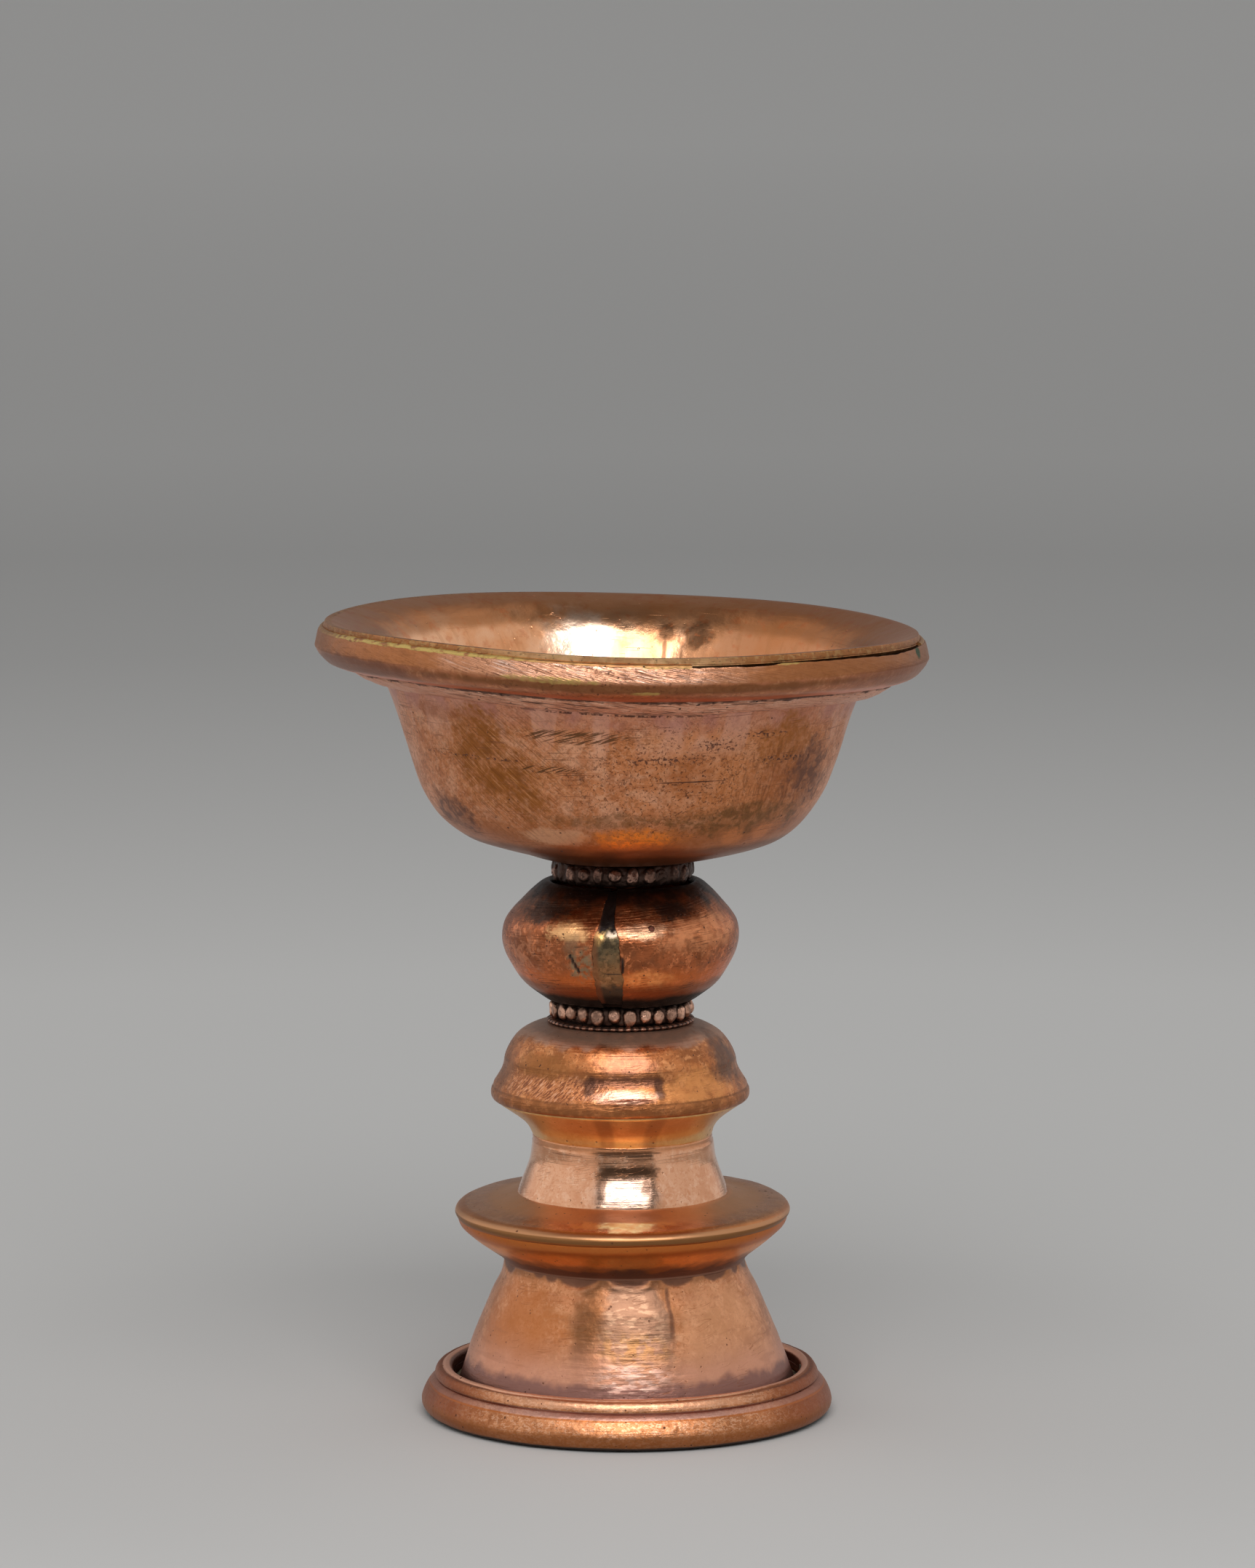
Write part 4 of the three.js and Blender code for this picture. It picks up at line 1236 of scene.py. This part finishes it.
def finishDisc():
    skin = Skin("disc copper", discPlate["copper"], discPlate["rough"])
    skin.worn(discPlate["light"], discPlate["dark"], 201, 0.5, 0.03)
    # paler next to the waist, with the lit streak in front of it
    near = skin.ease(skin.reach + (skin.grain(1.5, 202) - 0.5) * 0.8, 12.6, 11.2)
    skin.coat(near * 0.8, (222, 164, 116), 0.42)
    shade = skin.patch((-1, 18.85), (17, 0.5), 203, 0.3, 0.5, 0.9) * near
    skin.coat(shade * 0.6, (196, 142, 112), 0.4)
    streak = skin.patch((1, 18.38), (9.5, 0.26), 204, 0.4, 0.8, 0.7) * skin.ease(skin.reach, 11.4, 11.7)
    broken = 0.7 + skin.cloud(0.6, 204.5, 0.4, 0.6, detail=5) * 0.3
    skin.coat(streak * broken, (255, 226, 164), 0.36, 0.1)
    # painted highlight: the lit streak's dimmer ends to each side
    sides = skin.ease(abs(skin.height - 18.38), 0.24, 0.1) * skin.ease(abs(skin.around), 28, 16)
    skin.coat(sides * skin.cloud(1.0, 205.5, 0.42, 0.58) * 0.5, (250, 180, 100), 0.34, 0.8)
    # the edge, with a bright line over a dark one
    skin.coat(skin.ease(skin.reach, 13.6, 13.9) * 0.6, (196, 120, 66), 0.34)
    skin.coat(skin.ease(skin.height, 18.0, 17.9) * 0.85, (204, 150, 108), 0.38)
    skin.coat(skin.ease(skin.height, 17.66, 17.56) * 0.85, (134, 90, 50), 0.42)
    skin.coat(skin.ease(skin.height, 17.2, 17.1) * 0.85, (176, 106, 56), 0.42)
    joint = skin.ease(abs(skin.reach - 9.1), 0.2, 0.08)
    skin.coat(joint * 0.5, (196, 132, 84), 0.4, 0.6)
    skin.coat(skin.strokes(12, 0, 6, 0.2, 206), depth=0.014)
    skin.coat(skin.pits(0.7, 207) * 0.8, (110, 72, 52), 0.5, depth=-0.02)
    return skin.done()


piece = raised("disc_upper_half", discPlate, shapeDisc)
fit(piece, "disc_top_plate", finishDisc())

discUnder = dict(
    wall=[(10.16, coneTop - 0.3), (10.36, coneTop), (10.75, 13.86), (11.6, 14.45), (12.6, 15.13),
          (13.5, 15.85), (14.06, 16.45), (14.21, discSeam), (14.2, discSeam + 0.2)],
    sheet=0.7,
    step=fineStep,
    segments=256,
    copper=(255, 160, 76),
    light=(255, 176, 94),
    dark=(222, 132, 62),
    shades=(),
)
piece = raised("disc_lower_half", discUnder, shapeDisc)
finish = finishUnder("disc underside copper", discUnder, 211)
fit(piece, "disc_underside", finish)


# Foot cone: faintly rippled, with hammered scallops where it grips the neck

cone = dict(
    wall=[(15.1, coneFoot), (14.95, 1.4), (14.25, 3.4), (13.17, 6.5), (12.15, 9), (11.3, 11), (10.75, 12),
          (10.42, 12.9), (10.35, coneTop), (10.28, coneTop + 0.2)],
    sheet=0.7,
    step=fineStep,
    segments=320,
    ripple=0.012,
    # middle and half width in degrees
    scallops=[(-74, 11), (-45, 5), (-37, 5), (-23, 12), (2.5, 11), (26, 10), (49, 10), (66, 5),
              (84, 11), (106, 10), (127, 9), (148, 11), (171, 10), (-167, 10), (-145, 9), (-122, 11),
              (-98, 10)],
    scallopTall=0.9,
    scallopDeep=0.09,
    copper=(222, 152, 108),
    light=(242, 176, 132),
    dark=(184, 116, 74),
    rough=0.34,
)


def shapeCone(around, radius, level, side, spots):
    bands = hills(spots * (0.12, 0.12, 1), 0.55, 81) + 0.6 * hills(spots * (0.2, 0.2, 1), 0.28, 82)
    push = cone["ripple"] * bands + 0.05 * hills(spots, 6, 83)
    dent = np.zeros(around.shape)
    lip = np.zeros(around.shape)
    draw = np.random.default_rng(8)
    for centre, half in cone["scallops"]:
        tall = cone["scallopTall"] * draw.uniform(0.75, 1.15) * min(1, half / 8)
        off = awayFrom(around, centre)
        skew = draw.uniform(-0.25, 0.25) * half
        floor = coneTop - 0.1 - tall * (1 - ((off - skew * (1 - np.abs(off) / half)) / half) ** 2)
        floor = floor + 0.1 * hills(spots, 1.0, 84)
        within = bent(np.abs(off), half, half - 2.5)
        dent = np.maximum(dent, within * bent(level, floor - 0.15, floor + 0.45))
        lip = np.maximum(lip, within * bent(np.abs(level - floor + 0.2), 0.3, 0.04))
    push = push - cone["scallopDeep"] * dent + 0.02 * lip
    made = {"push": push, "dent": dent, "lip": lip}
    return {key: outwards(side, values) for key, values in made.items()}


def finishCone():
    skin = Skin("cone copper", cone["copper"], cone["rough"])
    skin.worn(cone["light"], cone["dark"], 221, 0.6, 0.05)
    skin.coat(skin.cloud(2.4, 222, 0.46, 0.62, detail=8, swirl=1.0) * 0.5, (190, 124, 78), 0.36)
    skin.coat(skin.stain((-50, 8.6), (24, 3.6), 224) * 0.7, (192, 114, 62), 0.36)
    skin.coat(skin.stain((46, 8.4), (24, 4), 225) * 0.4, (248, 184, 140), 0.4)
    # a greyer field in front that tints the soft box's reflection, with painted paler ripples in it and a
    # painted dark edge on its right, the reflected border round the soft box
    skin.coat(skin.patch((4, 9.2), (14.5, 4.6), 234, 0.2, 0.4) * 0.85, (144, 110, 90), 0.4)
    pale = skin.cloud(0.9, 234.7, 0.5, 0.6, (1, 1, 2.5), 5)
    skin.coat(skin.patch((4, 9.2), (14.5, 4.2), 234.5, 0.5, 0.5) * pale * 0.5, (206, 162, 130), 0.36)
    yellow = skin.cloud(0.7, 240, 0.44, 0.56, detail=5)
    skin.coat(skin.patch((2, 7.4), (13, 1.6), 234.9, 0.5, 0.8) * yellow * 0.6, (176, 124, 62), 0.34)
    skin.coat(skin.patch((-16, 9.4), (6, 3.2), 226, 0.6, 0.8) * 0.85, (124, 80, 50), 0.34)
    edge = skin.ease(abs(skin.around - 19.5 + (skin.grain(1.4, 235) - 0.5) * 3), 1.6, 0.3)
    edge = edge * skin.above(8.6, 235.5, 0.6, 0.6) * skin.below(12.6, 235.7, 0.3, 0.3)
    skin.coat(edge * 0.8, (120, 82, 64), 0.36)
    # pinker downwards, and purple-brown next to the ring
    skin.coat(skin.below(7.6, 227, 1.6, 1.0, 3.0) * 0.5, (206, 146, 118), 0.38)
    skin.coat(skin.below(6.4, 227.5, 1.0, 1.2, 2.0) * 0.5, (226, 164, 138), 0.4)
    skin.coat(skin.below(5.0, 228, 0.5, 1.0, 1.5) * 0.85, (136, 98, 92), 0.42)
    # painted glints: pale pink highlights in the purple band in front
    glints = skin.cloud(0.8, 228.7, 0.45, 0.55, (1, 1, 2.5))
    skin.coat(skin.patch((3, 5.4), (13, 1.1), 228.5, 0.4, 0.6) * glints * 0.7, (238, 192, 172), 0.36)
    # ripples that run round it
    streaks = skin.strokes(12.5, 0, 5, 0.8, 236, 3.0)
    skin.coat(skin.ease(streaks, 0.56, 0.66) * 0.2, (160, 104, 76), 0.4)
    skin.coat(streaks * skin.patch((4, 8), (16, 6), 236.5, 0.3, 0.3), depth=0.08)
    skin.coat(skin.grain(0.7, 236.8, detail=5), depth=0.025)
    skin.coat(skin.strokes(12.5, 0, 5, 0.2, 239), depth=0.015)
    # soft dents along the joint
    hollow = skin.mark("dent") + (skin.grain(0.6, 229) - 0.5) * 0.6
    skin.coat(skin.above(12.9, 237, 0.3, 0.4, 0.9) * 0.7, (156, 104, 70), 0.38)
    skin.coat(skin.ease(hollow, 0.15, 0.85) * 0.85, (116, 80, 66), 0.42)
    lit = skin.ease(skin.mark("lip") * skin.cloud(1.6, 238, 0.44, 0.58), 0.3, 1.0)
    skin.coat(lit * 0.2, (214, 160, 126), 0.36)
    joint = skin.ease(abs(skin.height - coneTop), 0.14, 0.05)
    skin.coat(joint * 0.9, (146, 102, 80), 0.6, 0.1)
    skin.coat(skin.hairs(12.5, 8, 4, 0.4, 231, 0.012) * skin.cloud(3, 232) * 0.5, brown, 0.4, depth=-0.01)
    skin.coat(skin.pits(0.5, 233) * 0.7, (110, 72, 56), 0.5, depth=-0.02)
    return skin.done()


piece = raised("hammered_cone", cone, shapeCone)
fit(piece, "foot_cone", finishCone())


# Base ring with its bead, and the filler in the channel behind them

footRing = dict(
    face=[(16.4, 0), (17.25, 0.26), (17.6, 0.7), (17.68, 1.15), (17.56, 1.6), (17.05, 2.56), (16.85, 2.8),
          (16.4, ringTop - 0.06)],
    back=[(15.2, ringTop - 0.06), (15.2, 0)],
    step=fineStep,
    segments=288,
    copper=(214, 142, 96),
    light=(240, 170, 122),
    dark=(158, 98, 60),
    rough=0.4,
)
footBead = dict(
    face=[(16.28, ringTop - 0.14), (16.53, ringTop), (16.5, 3.42), (16.28, 3.9), (16.1, 4.05),
          (15.92, 4.05), (15.84, 3.99), (15.7, 4.14), (15.5, 4.22), (15.25, 4.12), (15.02, 3.9)],
    back=[(15.02, 3.8), (15.02, ringTop - 0.04)],
    step=0.07,
    segments=288,
)


def shapeRing(around, radius, level, side, spots):
    push = 0.05 * hills(spots, 4, 91) + 0.02 * hills(spots, 1.2, 92)
    return {"push": outwards(side, push * bent(level, 0, 0.6))}


def finishRing(name, seed):
    skin = Skin(name, footRing["copper"], footRing["rough"])
    skin.worn(footRing["light"], footRing["dark"], seed, 0.6, 0.05)
    skin.coat(skin.cloud(0.35, seed + 1, 0.5, 0.6, (1, 1, 2), 4, 1) * 0.5, (250, 196, 160), 0.32)
    skin.coat(skin.ease(abs(skin.around), 30, 62) * 0.85, (144, 74, 40), 0.42)
    skin.coat(skin.below(1.45, seed + 2, 0.3, 0.5, 3) * 0.75, (158, 96, 54), 0.42)
    # the narrow shoulder under the bead, pale pink-grey, with a painted highlight that is strongest in
    # front, and a painted highlight on the bead's face in front
    front = skin.ease(abs(skin.around), 56, 20)
    shoulder = skin.ease(skin.height, 2.62, 2.74) * skin.ease(skin.height, 3.3, 3.2)
    skin.coat(shoulder * (0.25 + front * 0.5), (222, 170, 156), 0.4)
    skin.coat(skin.ease(abs(skin.height - 2.6), 0.1, 0.03) * 0.7, (190, 108, 56), 0.4)
    skin.coat(skin.ease(abs(skin.height - ringTop), 0.12, 0.03) * 0.7, (104, 66, 46), 0.5, 0.4)
    skin.coat(skin.ease(skin.height, 3.35, 3.5) * front * 0.5, (250, 190, 154), 0.34)
    # the groove on the bead's top, and a painted highlight on the crown behind it
    hollow = skin.ease(abs(skin.reach - 15.88), 0.1, 0.03) * skin.ease(skin.height, 3.7, 3.9)
    skin.coat(hollow * 0.85, (130, 76, 40), 0.5, 0.6)
    crownGlint = skin.ease(skin.reach, 15.8, 15.7) * skin.ease(skin.height, 3.8, 4.0)
    skin.coat(crownGlint * 0.7, (255, 190, 156), 0.34, 0.8)
    # painted shadow: black along the foot where it meets the floor
    skin.coat(skin.below(0.4, seed + 3, 0.08, 0.12) * 0.95, sootAndShade, 0.6, 0.3)
    # painted shade: the inner face in the channel behind the ring dark
    skin.coat(skin.ease(skin.reach, 15.25, 15.05) * 0.8, (70, 46, 38), 0.5, 0.8)
    skin.coat(skin.strokes(17.4, 1, 6, 0.12, seed + 4), depth=0.02)
    skin.coat(skin.grain(0.4, seed + 6, detail=4), depth=0.04)
    skin.coat(skin.pits(0.6, seed + 5) * 0.9, (90, 56, 42), 0.5, depth=-0.03)
    return skin.done()


piece = drawn("base_ring", footRing, shapeRing)
fit(piece, "foot_ring", finishRing("base ring copper", 241))
piece = drawn("base_bead", footBead, shapeRing, rounds=2)
fit(piece, "foot_bead", finishRing("base bead copper", 251))

footFiller = dict(
    face=[(15.14, 1.5), (15.14, 2.5)],
    back=[(14.72, 2.35), (14.95, 1.5)],
    lumps=[(84, 13, 1.45), (-150, 10, 0.9), (150, 14, 0.5)],    # degrees round, half width, rise
    step=0.16,
    segments=260,
    grey=(112, 110, 92),
    pale=(150, 142, 112),
    dark=(70, 66, 54),
)


def shapeFiller(around, radius, level, side, spots):
    rise = 0.25 * hills(spots, 1.5, 95)
    for centre, half, high in footFiller["lumps"]:
        off = awayFrom(around, centre)
        rise = rise + high * bent(np.abs(off), half, half * 0.3) * (1 + 0.25 * hills(spots, 0.8, 96))
    rise = np.maximum(rise, 0) * bent(level, 1.7, 2.4)
    return {"lift": rise, "push": -0.12 * rise}


def finishFiller():
    skin = Skin("grey filler", footFiller["grey"], 0.6, 0.6)
    skin.coat(skin.cloud(0.8, 231), footFiller["pale"], 0.55)
    skin.coat(skin.cloud(1.6, 232), footFiller["dark"], 0.7)
    skin.coat(skin.grain(0.4, 233), depth=0.1)
    return skin.done()


piece = drawn("channel_filler", footFiller, shapeFiller)
fit(piece, "foot_braze", finishFiller())


# Wick socket in the floor of the bowl

wickSocket = dict(
    face=[(0.02, 45.62), (1.6, 45.62), (1.88, 45.9), (1.9, 48.9)],
    flange=[(3.05, 48.92), (3.2, 49.1), (3.0, 49.36), (2.2, 49.4), (1.45, 49.38)],
    bore=[(1.3, 49.2), (1.3, 46.3), (1.1, 46.15), (0.02, 46.15)],
    step=0.14,
    segments=96,
    copper=(190, 120, 76),
    dark=(110, 70, 46),
    rough=0.34,
)


def finishSocket():
    skin = Skin("wick socket copper", wickSocket["copper"], wickSocket["rough"])
    skin.coat(skin.cloud(1.2, 241), wickSocket["dark"], 0.42)
    skin.coat(skin.ease(skin.reach, 1.6, 1.3), sootAndShade, 0.6, 0.8)
    skin.coat(skin.grain(0.5, 242), depth=0.03)
    return skin.done()


strokes = [(0, wickSocket["face"]), (0, wickSocket["flange"]), (1, wickSocket["bore"])]
piece = turned("wick_tube", wickSocket, strokes, rounds=1)
fit(piece, "wick_socket", finishSocket())


# Floor: pale near the lamp, and greyer further off. Its ramp is painted light, standing in for the fall of
# the light over it

floorLook = dict(
    reach=9000.0,     # mm to each side
    span=3000.0,      # mm from the lamp at the ramp's end
    # place on the ramp, and how light it is there
    stops=[(0.0, 0.55), (0.02, 0.55), (0.08, 0.635), (0.195, 0.48), (0.253, 0.46), (0.33, 0.535),
           (0.9, 0.65)],
    tint=(1, 0.99, 0.97),
)


def makeFloor():
    mesh = bpy.data.meshes.new("floor")
    r = floorLook["reach"] * mm
    mesh.from_pydata([(-r, -r, 0), (r, -r, 0), (r, r, 0), (-r, r, 0)], [], [(0, 1, 2, 3)])
    floor = bpy.data.objects.new("floor", mesh)
    bpy.context.scene.collection.objects.link(floor)
    skin = Skin("floor paper", (0, 0, 0), 0.8, 0.0)
    red, green, blue = floorLook["tint"]
    stops = [(place, (level * red, level * green, level * blue, 1)) for place, level in floorLook["stops"]]
    skin.colour = skin.node("ShaderNodeValToRGB", {"stops": stops}, {0: skin.reach / floorLook["span"]})
    mesh.materials.append(skin.done())


makeFloor()
print("floor made")


# Light: a wide soft box above the camera, and a room that is light at the sides and dark in front

# how light the room is in front, low down in front, at the sides, behind and overhead; left is how
# much lighter the left side is, seen is the background, and the edges between them are in degrees
softBox = dict(place=(32, -470, 545), aim=(0, 0, 40), size=(570, 460), watts=3.2)
room = dict(front=0.07, low=0.4, sides=0.70, left=0.08, back=0.24, ceiling=0.12, seen=0.27,
            middle=4, lowEdge=(6, 2), frontEdge=(32, 40), backEdge=(130, 160), ceilingEdge=(52, 72))


def makeSoftBox():
    light = bpy.data.lights.new("soft box", "AREA")
    light.shape = "RECTANGLE"
    light.size = softBox["size"][0] * mm
    light.size_y = softBox["size"][1] * mm
    light.energy = softBox["watts"]
    lamp = bpy.data.objects.new("soft box", light)
    lamp.location = Vector(softBox["place"]) * mm
    towards = (Vector(softBox["aim"]) - Vector(softBox["place"])).normalized()
    lamp.rotation_euler = towards.to_track_quat("-Z", "Y").to_euler()
    bpy.context.scene.collection.objects.link(lamp)


def makeRoom():
    world = bpy.data.worlds.new("room")
    bpy.context.scene.world = world
    world.use_nodes = True
    nodes = Nodes(world.node_tree)
    way = nodes.node("ShaderNodeTexCoord", out="Generated")
    x = nodes.part(way, 0)
    y = nodes.part(way, 1)
    up = nodes.maths("ARCSINE", nodes.part(way, 2)) * (180 / math.pi)
    turn = abs(nodes.maths("ARCTAN2", x, 0 - y) * (180 / math.pi) - room["middle"])
    wall = room["sides"] - x * room["left"]
    front = room["front"] + nodes.ease(up, *room["lowEdge"]) * (room["low"] - room["front"])
    level = front + nodes.ease(turn, *room["frontEdge"]) * (wall - front)
    level = level + nodes.ease(turn, *room["backEdge"]) * (room["back"] - level)
    level = level + nodes.ease(up, *room["ceilingEdge"]) * (room["ceiling"] - level)
    light = nodes.node("ShaderNodeBackground", None, {0: nodes.join(level, level, level), 1: 1.0})
    seen = nodes.node("ShaderNodeBackground", None, {0: (room["seen"],) * 3 + (1.0,), 1: 1.0})
    camera = nodes.node("ShaderNodeLightPath", out="Is Camera Ray")
    both = nodes.node("ShaderNodeMixShader", None, {0: camera, 1: light, 2: seen})
    nodes.node("ShaderNodeOutputWorld", None, {"Surface": both})


makeSoftBox()
makeRoom()
print("light made")


# Camera, at the photograph's distance and height

view = dict(place=(0.2, -600, 133), aim=(0.2, 0, 54.44), lens=162.66, sensor=36, near=10, far=20000)


def makeCamera():
    data = bpy.data.cameras.new("camera")
    data.lens = view["lens"]
    data.sensor_width = view["sensor"]
    data.clip_start = view["near"] * mm
    data.clip_end = view["far"] * mm
    camera = bpy.data.objects.new("camera", data)
    camera.location = Vector(view["place"]) * mm
    towards = (Vector(view["aim"]) - Vector(view["place"])).normalized()
    camera.rotation_euler = towards.to_track_quat("-Z", "Y").to_euler()
    bpy.context.scene.collection.objects.link(camera)
    bpy.context.scene.camera = camera


makeCamera()
print("camera made")
bpy.context.scene.view_settings.view_transform = "Standard"

print("all pieces made")
